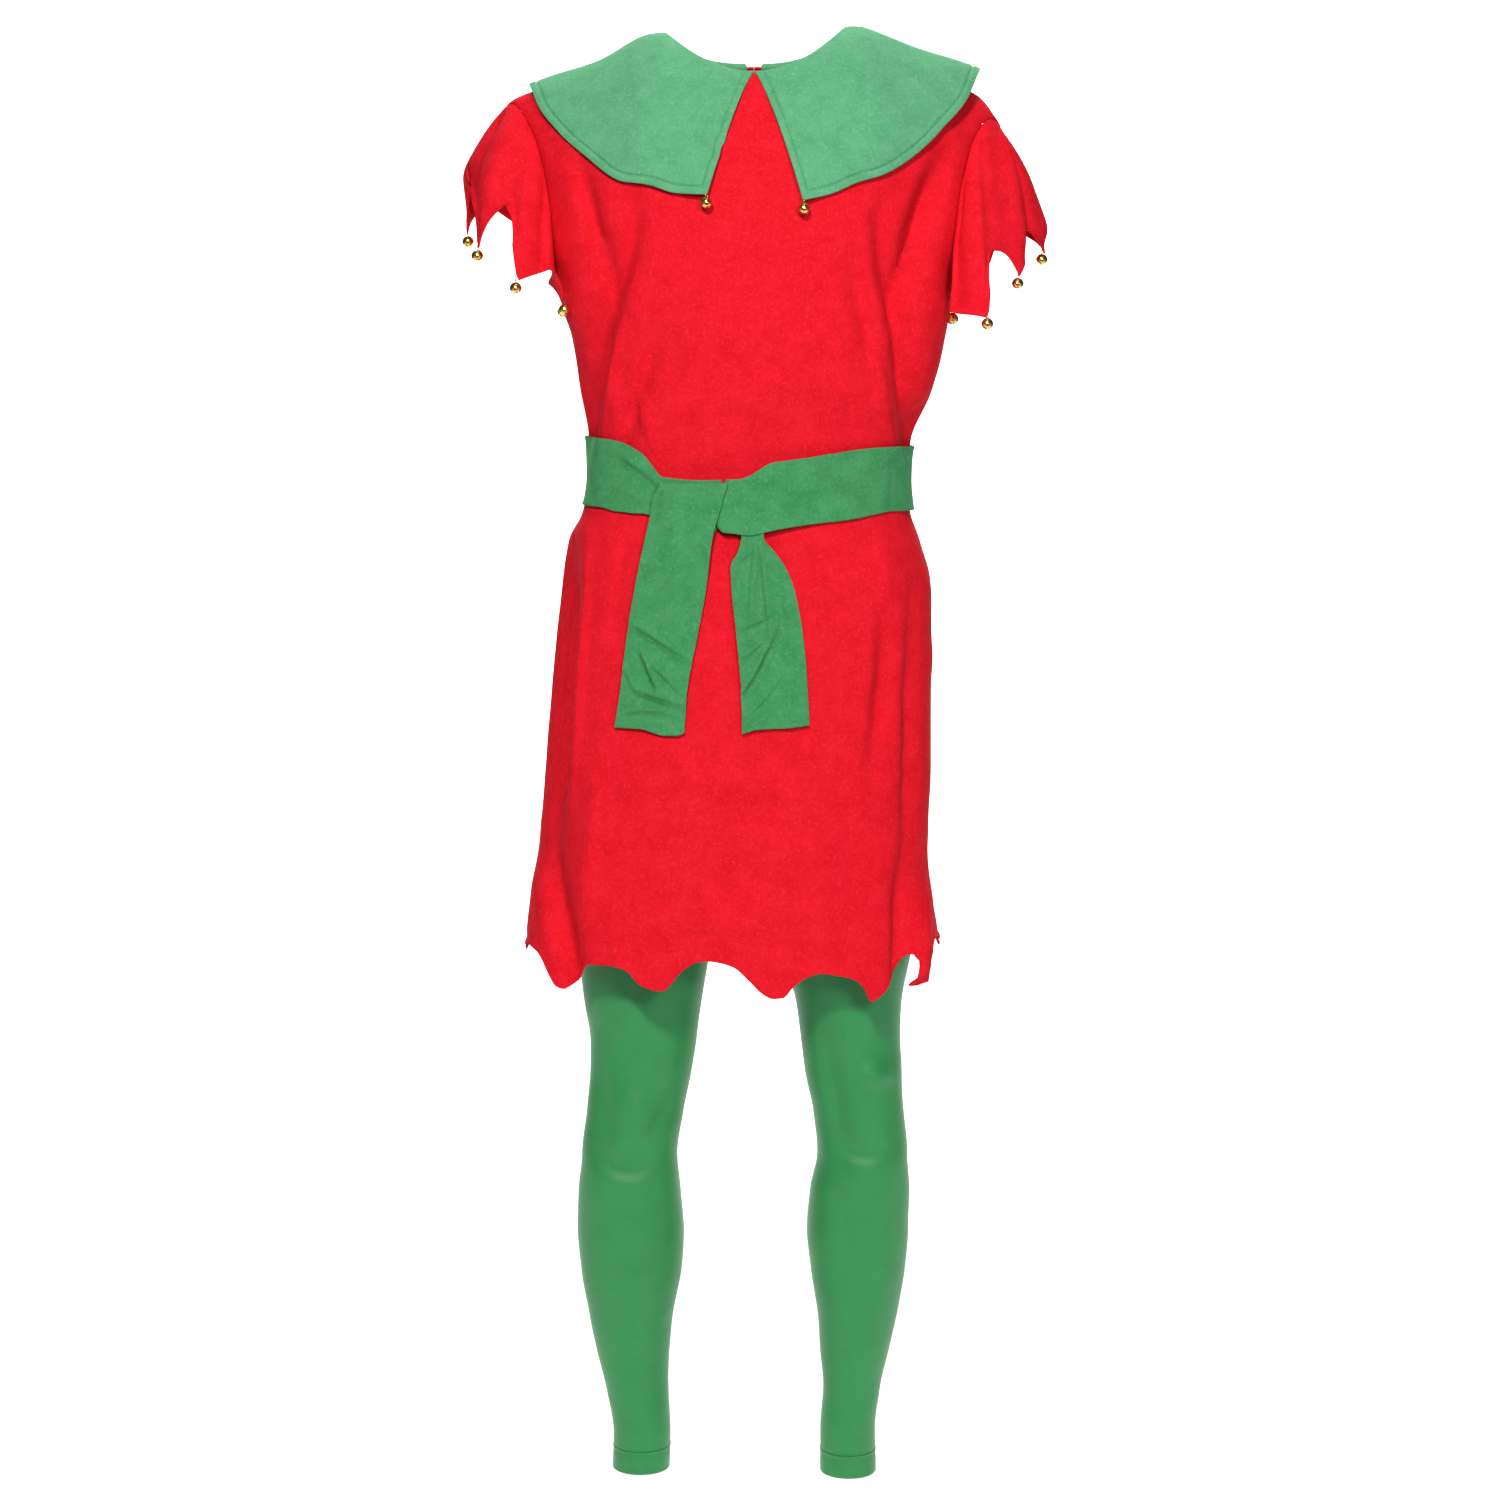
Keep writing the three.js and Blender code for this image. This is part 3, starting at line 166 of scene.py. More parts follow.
NECK_COLUMNS = {-1: (11, 24), 1: (8, 18)}
BACK_SEAM_COLUMN = 13

body_left = curve(BODY, "z", "left")
body_right = curve(BODY, "z", "right")
body_depth = {-1: curve(BODY, "z", "front"), 1: curve(BODY, "z", "back")}
ridge = curve(RIDGE, "x", "z")
armhole_half = curve(ARMHOLE, "angle", "half")
armhole_share = curve(ARMHOLE, "angle", "share")


def section_depth(x, half, depth):
    reach = np.minimum(1, np.abs(x) / half) ** SQUARENESS
    return depth * np.maximum(0, 1 - reach) ** (1 / SQUARENESS)


def across_section(u, edge, half, depth):
    """Place across a section, from its middle to its edge, at a share u of the way round."""
    xs = edge * np.sin(np.linspace(0, math.pi / 2, 61))
    ys = section_depth(xs, half, depth)
    lengths = np.concatenate([[0], np.cumsum(np.hypot(np.diff(xs), np.diff(ys)))])
    wanted = np.minimum(1, np.abs(u)) * lengths[-1]
    return np.sign(u) * np.interp(wanted, lengths, xs)


# Folds: each is a curve from its first place to its third, drawn towards its second, with the
# width and the height of its trough or ridge. A height below zero goes in. The lean makes one flank
# steeper than the other.

FOLD_STEPS = 24
FOLD_ENDS = (0.08, 0.92)


def fold_table(*rows):
    return table("x0 z0 x1 z1 x2 z2 width height lean", *rows)


FRONT_FOLDS = fold_table(
    (-166, -118, -150, -195, -134, -262, 9, -13, 0.2),
    (-112, -152, -112, -204, -140, -268, 10, -13, 0.2),
    (-133, -208, -154, -290, -163, -392, 14, -20, -0.1),
    (-112, -226, -130, -292, -148, -390, 5, 5, 0.0),
    (-82, -235, -100, -318, -126, -390, 8, -8, 0.2),
    (186, -112, 160, -190, 142, -268, 13, -22, 0.0),
    (128, -160, 122, -205, 140, -262, 10, -13, 0.0),
    (143, -222, 151, -300, 162, -392, 13, -22, 0.1),
    (98, -195, 108, -262, 124, -318, 9, -9, -0.2),
    (118, -280, 127, -337, 143, -394, 4, 6, 0.0),
    (-158, -474, -165, -630, -178, -740, 8, 7, -0.4),
    (-178, -490, -189, -640, -200, -790, 12, -22, 0.2),
    (-150, -715, -154, -780, -160, -850, 10, 6, -0.4),
    (-203, -780, -194, -860, -170, -925, 12, -20, 0.3),
    (132, -548, 132, -620, 118, -710, 12, -9, 0.3),
    (160, -520, 158, -680, 152, -830, 9, -9, 0.2),
    (148, -800, 150, -880, 144, -940, 10, -12, 0.2),
    (172, -830, 172, -890, 168, -950, 8, 8, 0.0),
    (-60, -506, 20, -511, 90, -508, 11, -4, 0.3),
    (-148, -722, -20, -700, 126, -744, 10, 3.6, 0.4),
)
FRONT_CREASES = fold_table(
    (-60, -120, -66, -230, -96, -352, 15, -2.2, 0.3),
    (-20, -150, -24, -260, -40, -380, 20, 1.5, 0.0),
    (62, -190, 66, -280, 84, -382, 17, -2.0, -0.3),
    (100, -330, 92, -362, 96, -388, 8, -2.4, 0.0),
    (-112, -330, -104, -362, -92, -392, 6, 3.6, 0.3),
    (-138, -290, -130, -340, -130, -384, 6, 2.4, 0.0),
    (-60, -340, -58, -380, -64, -405, 8, -1.8, 0.0),
    (20, -350, 24, -384, 20, -402, 9, -1.5, 0.0),
    (-120, -470, -128, -520, -134, -570, 8, -2.5, 0.3),
    (-70, -486, -82, -560, -86, -640, 14, -2.0, 0.2),
    (70, -480, 84, -540, 92, -620, 14, -2.2, -0.2),
    (120, -468, 134, -520, 140, -570, 9, 2.6, 0.3),
    (0, -520, -8, -600, -4, -690, 20, -1.6, 0.0),
    (110, -650, 128, -664, 160, -652, 4, 3.2, 0.4),
    (118, -676, 136, -684, 164, -668, 4, 3.0, 0.4),
    (126, -706, 142, -716, 166, -704, 6, 1.4, 0.0),
    (-130, -660, -138, -700, -132, -760, 10, -2.4, 0.2),
    (10, -788, 60, -796, 110, -784, 8, 1.6, 0.3),
    (-140, -866, -40, -846, 60, -870, 6, 3.4, 0.6),
    (60, -860, 110, -880, 150, -902, 9, -2.0, 0.3),
    (-100, -740, -104, -800, -112, -872, 18, -2.0, 0.0),
    (40, -720, 52, -790, 50, -880, 22, 2.0, 0.0),
    (98, -740, 104, -800, 96, -890, 14, -2.4, 0.2),
)
BACK_FOLDS = fold_table(
    (-176, -120, -128, -230, -146, -380, 18, -9, 0.4),
    (184, -128, 140, -235, 150, -380, 18, -9, -0.4),
    (-62, -250, -80, -320, -84, -380, 13, -5, 0.0),
    (74, -240, 62, -310, 70, -380, 13, -5, 0.0),
    (-60, -468, -88, -640, -120, -930, 22, -9, 0.3),
    (52, -468, 70, -660, 112, -930, 22, -9, -0.3),
    (0, -480, -8, -700, -6, -900, 26, 6, 0.0),
    (-168, -540, -178, -700, -180, -900, 16, -8, 0.2),
    (156, -540, 158, -700, 150, -900, 16, -8, 0.2),
)
BACK_CREASES = fold_table(
    (-20, -140, -26, -250, -18, -370, 20, 2.0, 0.0),
    (34, -170, 30, -270, 24, -376, 14, -2.2, 0.2),
    (-100, -200, -108, -290, -112, -380, 13, 3.0, -0.3),
    (108, -190, 104, -280, 110, -380, 13, 3.0, 0.3),
    (-130, -330, -120, -362, -116, -388, 8, -2.6, 0.0),
    (130, -330, 118, -362, 112, -388, 8, -2.6, 0.0),
    (-30, -470, -36, -540, -50, -640, 12, 3.0, 0.3),
    (90, -470, 104, -540, 120, -640, 11, 3.0, -0.3),
    (-110, -470, -124, -540, -136, -620, 11, 3.0, 0.3),
    (22, -500, 26, -600, 34, -720, 14, -3.0, 0.0),
    (-140, -700, -80, -716, -10, -700, 10, 1.8, 0.4),
    (40, -760, 90, -776, 130, -760, 9, 1.8, 0.4),
    (-90, -860, -20, -846, 60, -866, 9, 2.0, 0.5),
)


def fold_height(folds, x, z):
    """Height of a table of folds at each place, from the nearest point of each fold's curve."""
    total = np.zeros(np.shape(x))
    steps = np.linspace(0, 1, FOLD_STEPS + 1)
    for fold in each_row(folds):
        xs = bezier(fold["x0"], fold["x1"], fold["x2"], steps)
        zs = bezier(fold["z0"], fold["z1"], fold["z2"], steps)
        nearest = np.full(np.shape(x), np.inf)
        along = np.zeros(np.shape(x))
        side = np.zeros(np.shape(x))
        for n in range(FOLD_STEPS):
            dx, dz = xs[n + 1] - xs[n], zs[n + 1] - zs[n]
            t = np.clip(((x - xs[n]) * dx + (z - zs[n]) * dz) / (dx * dx + dz * dz), 0, 1)
            ox, oz = x - (xs[n] + t * dx), z - (zs[n] + t * dz)
            distance = np.hypot(ox, oz)
            closer = distance < nearest
            nearest = np.where(closer, distance, nearest)
            along = np.where(closer, (n + t) / FOLD_STEPS, along)
            side = np.where(closer, np.sign(dx * oz - dz * ox), side)
        width = fold["width"] * (1 + fold["lean"] * side)
        taper = np.sin(math.pi * mix(*FOLD_ENDS, along))
        total += wave(nearest, fold["height"] * taper, width)
    return total


WAVES = table(
    "length angle phase size",
    (118, 12, 0.3, 0.55), (83, 71, 1.9, 0.5), (59, 128, 4.1, 0.36), (141, 98, 2.2, 0.5),
    (47, 35, 5.0, 0.24), (37, 152, 0.9, 0.18), (71, 166, 3.3, 0.3),
)
WAVE_BEND = {"size": 0.6, "length": 230}
WAVE_TURN = 17


def unevenness(x, z, seed):
    """Slow unevenness of hanging cloth, a few tenths of a millimetre."""
    total = np.zeros(np.shape(x))
    bend = WAVE_BEND["size"] * np.sin(2 * math.pi * (x - z) / WAVE_BEND["length"] + seed)
    for row in each_row(WAVES):
        angle = math.radians(row["angle"] + WAVE_TURN * seed)
        along = x * math.cos(angle) + z * math.sin(angle)
        turn = 2 * math.pi * along / row["length"] + row["phase"] + seed + bend
        total += row["size"] * np.sin(turn)
    return total


# Grids: arrays of points [column, row, 3]

def grid_normals(grid, closed, outward):
    """Normal at each point of a grid, on the side that mostly faces outward."""
    if closed:
        across = np.roll(grid, -1, 0) - np.roll(grid, 1, 0)
    else:
        across = np.gradient(grid, axis=0)
    along = np.gradient(grid, axis=1)
    normals = unit(np.cross(across, along))
    return normals * np.sign((normals * outward).sum())


def soften(grid, closed, times):
    """Evens out a grid a little, with its first and last rows kept."""
    grid = grid.copy()
    for _ in range(times):
        if closed:
            side = (np.roll(grid, 1, 0) + np.roll(grid, -1, 0)) / 2
        else:
            side = grid.copy()
            side[1:-1] = (grid[2:] + grid[:-2]) / 2
        average = (grid[:, 2:] + grid[:, :-2]) / 4 + side[:, 1:-1] / 2
        grid[:, 1:-1] = mix(grid[:, 1:-1], average, 0.5)
    return grid


def edge_distance(grid, axis, end):
    """Distance of each point from one edge of its grid, along a row or a column."""
    if end:
        return np.flip(edge_distance(np.flip(grid, axis), axis, 0), axis)
    steps = np.linalg.norm(np.diff(grid, axis=axis), axis=-1)
    start = np.zeros_like(steps.take([0], axis))
    return np.cumsum(np.concatenate([start, steps], axis), axis)


def wave(distance, size, width, at=0.0):
    """Ridge, or a dip where the size is below zero, at one distance from an edge."""
    return size * np.exp(-(((distance - at) / width) ** 2))


RIM_TURNS = (45, 90, 135)


def shell(name, outer, normals, thickness, closed, bulge, finish):
    """Thin closed wall from an outer grid, with a rounded rim. bulge is how far each rim stands
    out: first column, last column, first row, last row."""
    columns, rows = outer.shape[:2]
    inner = outer - normals * thickness
    points = [outer.reshape(-1, 3), inner.reshape(-1, 3)]
    count = 2 * columns * rows
    index = np.arange(columns * rows).reshape(columns, rows)
    deep = index + columns * rows
    faces = []

    def sheet_faces(ids, flip):
        if closed:
            ids = np.concatenate([ids, ids[:1]])
        a, b, c, d = ids[:-1, :-1], ids[1:, :-1], ids[1:, 1:], ids[:-1, 1:]
        order = (a, d, c, b) if flip else (a, b, c, d)
        faces.append(np.stack([p.ravel() for p in order], 1))

    sheet_faces(index, False)
    sheet_faces(deep, True)

    def rim(outer_ids, inner_ids, away, size, loop, flip):
        nonlocal count
        top = outer.reshape(-1, 3)[outer_ids]
        low = inner.reshape(-1, 3)[inner_ids - columns * rows]
        middle, half = (top + low) / 2, (top - low) / 2
        strips = [outer_ids]
        for turn in RIM_TURNS:
            angle = math.radians(turn)
            points.append(middle + half * math.cos(angle) + away * size * math.sin(angle))
            strips.append(np.arange(count, count + len(top)))
            count += len(top)
        strips.append(inner_ids)
        for upper, under in zip(strips[:-1], strips[1:]):
            if loop:
                upper, under = np.append(upper, upper[0]), np.append(under, under[0])
            quads = [upper[:-1], under[:-1], under[1:], upper[1:]]
            if flip:
                quads.reverse()
            faces.append(np.stack(quads, 1))

    rim(index[:, 0], deep[:, 0], unit(outer[:, 0] - outer[:, 1]), bulge[2], closed, False)
    rim(index[:, -1], deep[:, -1], unit(outer[:, -1] - outer[:, -2]), bulge[3], closed, True)
    if not closed:
        rim(index[0], deep[0], unit(outer[0] - outer[1]), bulge[0], False, True)
        rim(index[-1], deep[-1], unit(outer[-1] - outer[-2]), bulge[1], False, False)
    return mesh_object(name, np.concatenate(points), np.concatenate(faces), finish)


def mesh_object(name, points, faces, finish):
    """Mesh object from points in millimetres and faces, turned to face out."""
    mesh = bpy.data.meshes.new(name)
    if isinstance(faces, np.ndarray):
        faces = faces.tolist()
    mesh.from_pydata((np.asarray(points) * MM).tolist(), [], faces)
    mesh.validate()
    face_out(mesh)
    mesh.shade_smooth()
    mesh.set_sharp_from_angle(angle=math.radians(60))
    made = bpy.data.objects.new(name, mesh)
    bpy.context.scene.collection.objects.link(made)
    mesh.materials.append(finish)
    return made


def face_out(mesh):
    """Turns a closed mesh's faces outwards."""
    mesh.calc_loop_triangles()
    points = np.zeros(len(mesh.vertices) * 3)
    mesh.vertices.foreach_get("co", points)
    corners = np.zeros(len(mesh.loop_triangles) * 3, np.int32)
    mesh.loop_triangles.foreach_get("vertices", corners)
    a, b, c = points.reshape(-1, 3)[corners.reshape(-1, 3)].transpose(1, 0, 2)
    if (a * np.cross(b, c)).sum() < 0:
        mesh.flip_normals()


def handed(name, hand):
    return name + ("_right" if hand < 0 else "_left")


def declare(obj, nodes):
    """Rides with the body and stands for its nodes, which it hides."""
    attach(obj, "root")
    if nodes:
        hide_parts(*nodes)
    return obj


# Materials

def node_tree(name):
    material = bpy.data.materials.new(name)
    material.use_nodes = True
    tree = material.node_tree
    return material, tree, tree.nodes["Principled BSDF"]


def add_node(tree, kind, inputs=(), **settings):
    made = tree.nodes.new(kind)
    for key, value in settings.items():
        setattr(made, key, value)
    for key, value in dict(inputs).items():
        made.inputs[key].default_value = value
    return made


def noise(tree, where, scale, detail, roughness):
    made = add_node(
        tree, "ShaderNodeTexNoise", {"Scale": scale, "Detail": detail, "Roughness": roughness}
    )
    tree.links.new(where.outputs["Object"], made.inputs["Vector"])
    return made.outputs["Fac"]


def mixed(tree, factor, a, b):
    made = add_node(tree, "ShaderNodeMix", data_type="RGBA")
    for socket, value in ((made.inputs[0], factor), (made.inputs[6], a), (made.inputs[7], b)):
        if hasattr(value, "links"):
            tree.links.new(value, socket)
        else:
            socket.default_value = value
    return made.outputs[2]


def ramp(tree, source, low, high):
    made = add_node(tree, "ShaderNodeMapRange", {"From Min": low, "From Max": high})
    tree.links.new(source, made.inputs["Value"])
    return made.outputs["Result"]


def cloth_shader(tree, shader, shade, height, bump_values, values):
    """Colour, bump and constant values of a cloth."""
    bump = add_node(tree, "ShaderNodeBump", bump_values)
    tree.links.new(height, bump.inputs["Height"])
    tree.links.new(bump.outputs["Normal"], shader.inputs["Normal"])
    tree.links.new(shade, shader.inputs["Base Color"])
    for key, value in values.items():
        shader.inputs[key].default_value = value


def fleece(name, light, deep, fuzz, sheen, nap):
    """Brushed fleece: a faint mottle, fine short nap with pale tips, and a soft sheen."""
    material, tree, shader = node_tree(name)
    where = add_node(tree, "ShaderNodeTexCoord")
    clouds = noise(tree, where, 55, 4, 0.6)
    tufts = noise(tree, where, 330, 3, 0.65)
    fibres = noise(tree, where, 1300, 2, 0.7)
    base = mixed(tree, ramp(tree, clouds, 0.32, 0.68), deep, light)
    mottled = mixed(tree, ramp(tree, tufts, 0.5, 0.85), base, fuzz)
    shade = mixed(tree, ramp(tree, fibres, 0.28, 0.55), deep, mottled)
    height = add_node(tree, "ShaderNodeMath", {1: 0.5}, operation="MULTIPLY_ADD")
    tree.links.new(fibres, height.inputs[0])
    tree.links.new(tufts, height.inputs[2])
    cloth_shader(
        tree, shader, shade, height.outputs[0], {"Strength": nap, "Distance": 0.0006},
        {"Roughness": 0.9, "Specular IOR Level": 0.1, "Sheen Weight": sheen,
         "Sheen Roughness": 0.5, "Sheen Tint": fuzz},
    )
    return material


def jersey(name, light, deep, glow):
    """Fine stretch jersey: soft mottling, a fine grain and a faint sheen."""
    material, tree, shader = node_tree(name)
    where = add_node(tree, "ShaderNodeTexCoord")
    clouds = noise(tree, where, 26, 4, 0.6)
    grain = noise(tree, where, 1100, 2, 0.6)
    base = mixed(tree, ramp(tree, clouds, 0.3, 0.72), deep, light)
    shade = mixed(tree, ramp(tree, grain, 0.3, 0.75), base, light)
    cloth_shader(
        tree, shader, shade, grain, {"Strength": 0.25, "Distance": 0.0002},
        {"Roughness": 0.52, "Specular IOR Level": 0.4, "Sheen Weight": 0.35,
         "Sheen Roughness": 0.35, "Sheen Tint": glow},
    )
    return material


def metal(name, colour, roughness):
    """Polished plated metal with faint wear."""
    material, tree, shader = node_tree(name)
    where = add_node(tree, "ShaderNodeTexCoord")
    wear = noise(tree, where, 420, 3, 0.6)
    spots = add_node(
        tree, "ShaderNodeMapRange",
        {"From Min": 0.3, "From Max": 0.8, "To Min": roughness, "To Max": roughness + 0.14},
    )
    tree.links.new(wear, spots.inputs["Value"])
    tree.links.new(spots.outputs["Result"], shader.inputs["Roughness"])
    shader.inputs["Base Color"].default_value = colour
    shader.inputs["Metallic"].default_value = 1.0
    return material


def plain(name, colour, roughness):
    material, _, shader = node_tree(name)
    shader.inputs["Base Color"].default_value = colour
    shader.inputs["Roughness"].default_value = roughness
    return material


RED = fleece(
    "red_fleece_nap",
    (0.82, 0.01, 0.026, 1), (0.69, 0.005, 0.014, 1), (0.9, 0.03, 0.05, 1), 0.05, 0.7,
)
GREEN = fleece(
    "green_felted_fleece",
    (0.13, 0.42, 0.21, 1), (0.085, 0.34, 0.155, 1), (0.21, 0.51, 0.29, 1), 0.26, 0.8,
)
SASH_GREEN = fleece(
    "green_sash_fleece",
    (0.07, 0.315, 0.12, 1), (0.04, 0.24, 0.082, 1), (0.13, 0.4, 0.175, 1), 0.34, 0.8,
)
LEG_GREEN = jersey(
    "green_leg_jersey", (0.03, 0.265, 0.075, 1), (0.019, 0.21, 0.055, 1), (0.2, 0.5, 0.26, 1)
)
GOLD = metal("gold_plate", (0.86, 0.58, 0.17, 1), 0.16)
GREEN_THREAD = plain("green_thread", (0.05, 0.27, 0.11, 1), 0.7)
LEG_THREAD = plain("leg_thread", (0.04, 0.27, 0.085, 1), 0.6)
RED_THREAD = plain("red_thread", (0.5, 0.01, 0.02, 1), 0.7)


# Tunic

SUB = {-1: 6, 1: 5}
ARCH_STEPS = 12
ARCH_SUB = 4
HEM_FINE = 12
BODY_FINE = 84
BODY_TOP = ARMPIT_Z - 16
SIDE_SEAM = (-0.9, 3.2)
SHOULDER_SEAM = (-0.5, 3)
HEM_SHAPE = ((1.6, 3), (-0.7, 3.5, 7))


def hem_height(hem, u):
    k = np.clip(np.searchsorted(hem["u"], u, side="right") - 1, 0, len(hem["u"]) - 2)
    t = (u - hem["u"][k]) / (hem["u"][k + 1] - hem["u"][k])
    tip = np.where(t < 0.5, hem["tip"][k], hem["tip"][k + 1])
    return mix(hem["arch"][k], tip, np.abs(2 * t - 1) ** HEM_POWER)


def blunt(edge):
    """Rounds the points of a hem by a few millimetres."""
    weights = np.array([1, 2, 3, 2, 1]) / 9
    return np.convolve(np.pad(edge, 2, mode="edge"), weights, mode="valid")


def neck_angle(side, x):
    reach = np.abs(x - SHOULDER_CENTRE) / NECK_HALF
    return NECK_ANGLE[side] * np.sqrt(np.maximum(0, 1 - reach ** NECK_POWER[side]))


def section(side, z):
    """Middle, half width and depth of the tunic's section at each height."""
    left, right = body_left(z), body_right(z)
    return (left + right) / 2, (right - left) / 2, body_depth[side](z)


def body_base(side, u, z):
    """Points of the tunic's section at one height for each share u, with no folds."""
    centre, half, depth = (float(value) for value in section(side, z))
    x = across_section(u, half, half, depth)
    y = section_depth(x, half, depth) + SEAM / 2
    return np.stack([centre + x, side * y, np.full_like(x, z)], -1)


def shoulder_base(side, x, angle):
    """Points over the shoulders at angles down from the seam, with no folds."""
    z = ridge(x) - SHOULDER_DROP * (1 - np.cos(np.radians(angle)))
    half = armhole_half(angle) / armhole_share(angle)
    depth = section_depth(x - SHOULDER_CENTRE, half, body_depth[side](z))
    y = depth * np.sin(np.radians(angle)) + SEAM / 2
    return np.stack([x, side * y, z], -1)


def curl_point(grid, low):
    """Curls the narrow last point of the front hem towards the middle, as a corner does."""
    inside = smooth_step(low, CURL["low"] - 0.01, CURL["low"] + 0.015)
    inside *= 1 - smooth_step(low, CURL["high"] - 0.01, CURL["high"] + 0.01)
    down = np.clip((CURL["top"] - grid[..., 2]) / CURL["drop"], 0, 1.2) ** 2 * inside[:, None]
    grid[..., 0] -= CURL["reach"] * down
    grid[..., 1] += CURL["back"] * down
    return grid


def panel_grid(side, hem):
    """One tunic panel: columns from the wearer's right to left, rows from hem to shoulder."""
    first, second = NECK_COLUMNS[side]
    last = int(hem["column"][-1])
    at = np.arange(last * SUB[side] + 1) / SUB[side]
    low = curve(hem, "column", "u")(at)
    neck_share = NECK_HALF / float(armhole_half(0))
    high = np.interp(at, [0, first, second, last], [-1, -neck_share, neck_share, 1])
    rows = []
    edge = curve(FRONT_EDGE, "u", "z")(low) if side < 0 else blunt(hem_height(hem, low))
    for f in np.linspace(0, 1, HEM_FINE, endpoint=False):
        spread = mix(edge, HEM_TOP, f)
        points = [body_base(side, low[i:i + 1], float(z))[0] for i, z in enumerate(spread)]
        rows.append(np.array(points))
    for z in np.linspace(HEM_TOP, BODY_TOP, BODY_FINE):
        share = (z - HEM_TOP) / (ARMPIT_Z - HEM_TOP)
        rows.append(body_base(side, mix(low, high, share), float(z)))
    armpit = np.array([
        body_base(side, high[i:i + 1], ARMPIT_Z + ARMPIT_SLOPE * high[i])[0] for i in range(len(at))
    ])
    rows.append(armpit)
    armpit_row = len(rows) - 1
    arch = []
    top_x = SHOULDER_CENTRE + high * float(armhole_half(0))
    inside = (at > first) & (at < second)
    neck = np.where(inside, neck_angle(side, top_x), 0)
    for k in range(ARCH_STEPS * ARCH_SUB + 1):
        f = k / (ARCH_STEPS * ARCH_SUB)
        across = 90 * (1 - f)
        half = float(armhole_half(across))
        depth = float(body_depth[side](ARCH_LEVEL)) * math.sin(math.radians(across))
        x = across_section(high, half, half / float(armhole_share(across)), max(depth, 1e-6))
        arch.append(shoulder_base(side, SHOULDER_CENTRE + x, mix(90, neck, f)))
    for k in range(1, ARCH_SUB):
        rows.append(mix(armpit, arch[0], k / ARCH_SUB))
    rows.extend(arch)
    grid = np.stack(rows, 1)
    if side < 0:
        grid = curl_point(grid, low)
    return grid, high, armpit_row


def dress_panel(side, folds, creases, hem):
    """Panel with its folds, its creases and the dip of its seams."""
    base, share, armpit_row = panel_grid(side, hem)
    outward = np.stack([base[..., 0] / 200, np.full(base.shape[:2], side),
                        np.maximum(0, (base[..., 2] - ARCH_LEVEL) / 100)], -1)
    normals = grid_normals(base, False, outward)
    x, z = base[..., 0], base[..., 2]
    fade = np.minimum(1, (1 - np.abs(share)) / 0.1)[:, None]
    height = (fold_height(folds, x, z) + fold_height(creases, x, z)) * fade
    height += unevenness(x, z, 1 if side < 0 else 2) * 0.8 * np.minimum(1, fade * 2)
    for end in (0, -1):
        height += wave(edge_distance(base, 0, end), *SIDE_SEAM)
    height += wave(edge_distance(base, 1, -1), *SHOULDER_SEAM)
    height += sum(wave(edge_distance(base, 1, 0), *shape) for shape in HEM_SHAPE)
    grid = base + normals * height[..., None]
    normals = grid_normals(grid, False, outward)
    return grid, normals, armpit_row


front_grid, front_normals, armpit_row = dress_panel(-1, FRONT_FOLDS, FRONT_CREASES, FRONT_HEM)
back_grid, back_normals, _ = dress_panel(1, BACK_FOLDS, BACK_CREASES, BACK_HEM)
SEAM_RIMS = (0.1, 0.1, 1.0, 0.1)
tunic_front = declare(
    shell("tunic_front_cloth", front_grid, front_normals, FLEECE, False, SEAM_RIMS, RED),
    ["tunic_front"],
)


def back_half(name, hand):
    """Half of the back, one side of the seam at the centre."""
    middle = BACK_SEAM_COLUMN * SUB[1]
    part, seam = (slice(0, middle + 1), -1) if hand < 0 else (slice(middle, None), 0)
    grid = back_grid[part].copy()
    grid[seam, :, 0] += hand * SEAM / 2
    made = shell(name + "_cloth", grid, back_normals[part], FLEECE, False, SEAM_RIMS, RED)
    declare(made, [name])


back_half("tunic_back_right", -1)
back_half("tunic_back_left", 1)


# Sleeves: hem points and notches by column, 0 at the shoulder and 13 at the armpit, front first

SLEEVE_COLUMNS = 26
SLEEVE_RIGHT_HEM = table(
    "column tip x y z swell power",
    (0, 0, -275, -6, -116, 0, 0.6), (2, 1, -264, -44, -197, 0, 1.9),
    (4.3, 0, -232, -66, -156, 0, 1), (5.6, 1, -223, -90, -230, 0, 1.1),
    (9, 0, -193, -66, -218, 0, 1.6), (11, 1, -182, -54, -250, 0, 1.6),
    (13, 0, -198, 2, -230, 0, 1.6), (15, 1, -187, 50, -250, 0, 1.6),
    (17, 0, -203, 62, -198, 0, 1.6), (19, 1, -216, 78, -207, 2, 4),
    (22, 0, -258, 66, -150, 4, 1.6), (24, 1, -280, 34, -181, 11, 0.6),
)
SLEEVE_LEFT_HEM = table(
    "column tip x y z swell power",
    (0, 0, 274, -10, -178, 5, 1), (2, 1, 259, -50, -225, 0, 4),
    (4.6, 0, 232, -70, -200, 0, 1), (5.6, 1, 228, -91, -265, 0, 1),
    (9, 0, 192, -68, -257, 0, 1.6), (11, 1, 195, -49, -259, 0, 1.6),
    (13, 0, 211, 2, -250, 0, 1.6), (15, 1, 201, 48, -256, 0, 1.6),
    (17, 0, 216, 62, -232, 0, 1.6), (19, 1, 229, 76, -244, 2, 5),
    (22, 0, 268, 64, -178, 5, 1.3), (24, 1, 291, 20, -201, 16, 0.9),
)
SLEEVE_BELLS = {
    -1: table(
        "x y z", (-265, -44, -197), (-225, -90, -229), (-180, -54, -249),
        (-187, 50, -250), (-216, 78, -207), (-280, 34, -181),
    ),
    1: table(
        "x y z", (260, -50, -224), (228, -92, -263), (197, -50, -258),
        (201, 48, -256), (229, 76, -244), (289, 22, -199),
    ),
}
SLEEVE_ROWS = 44
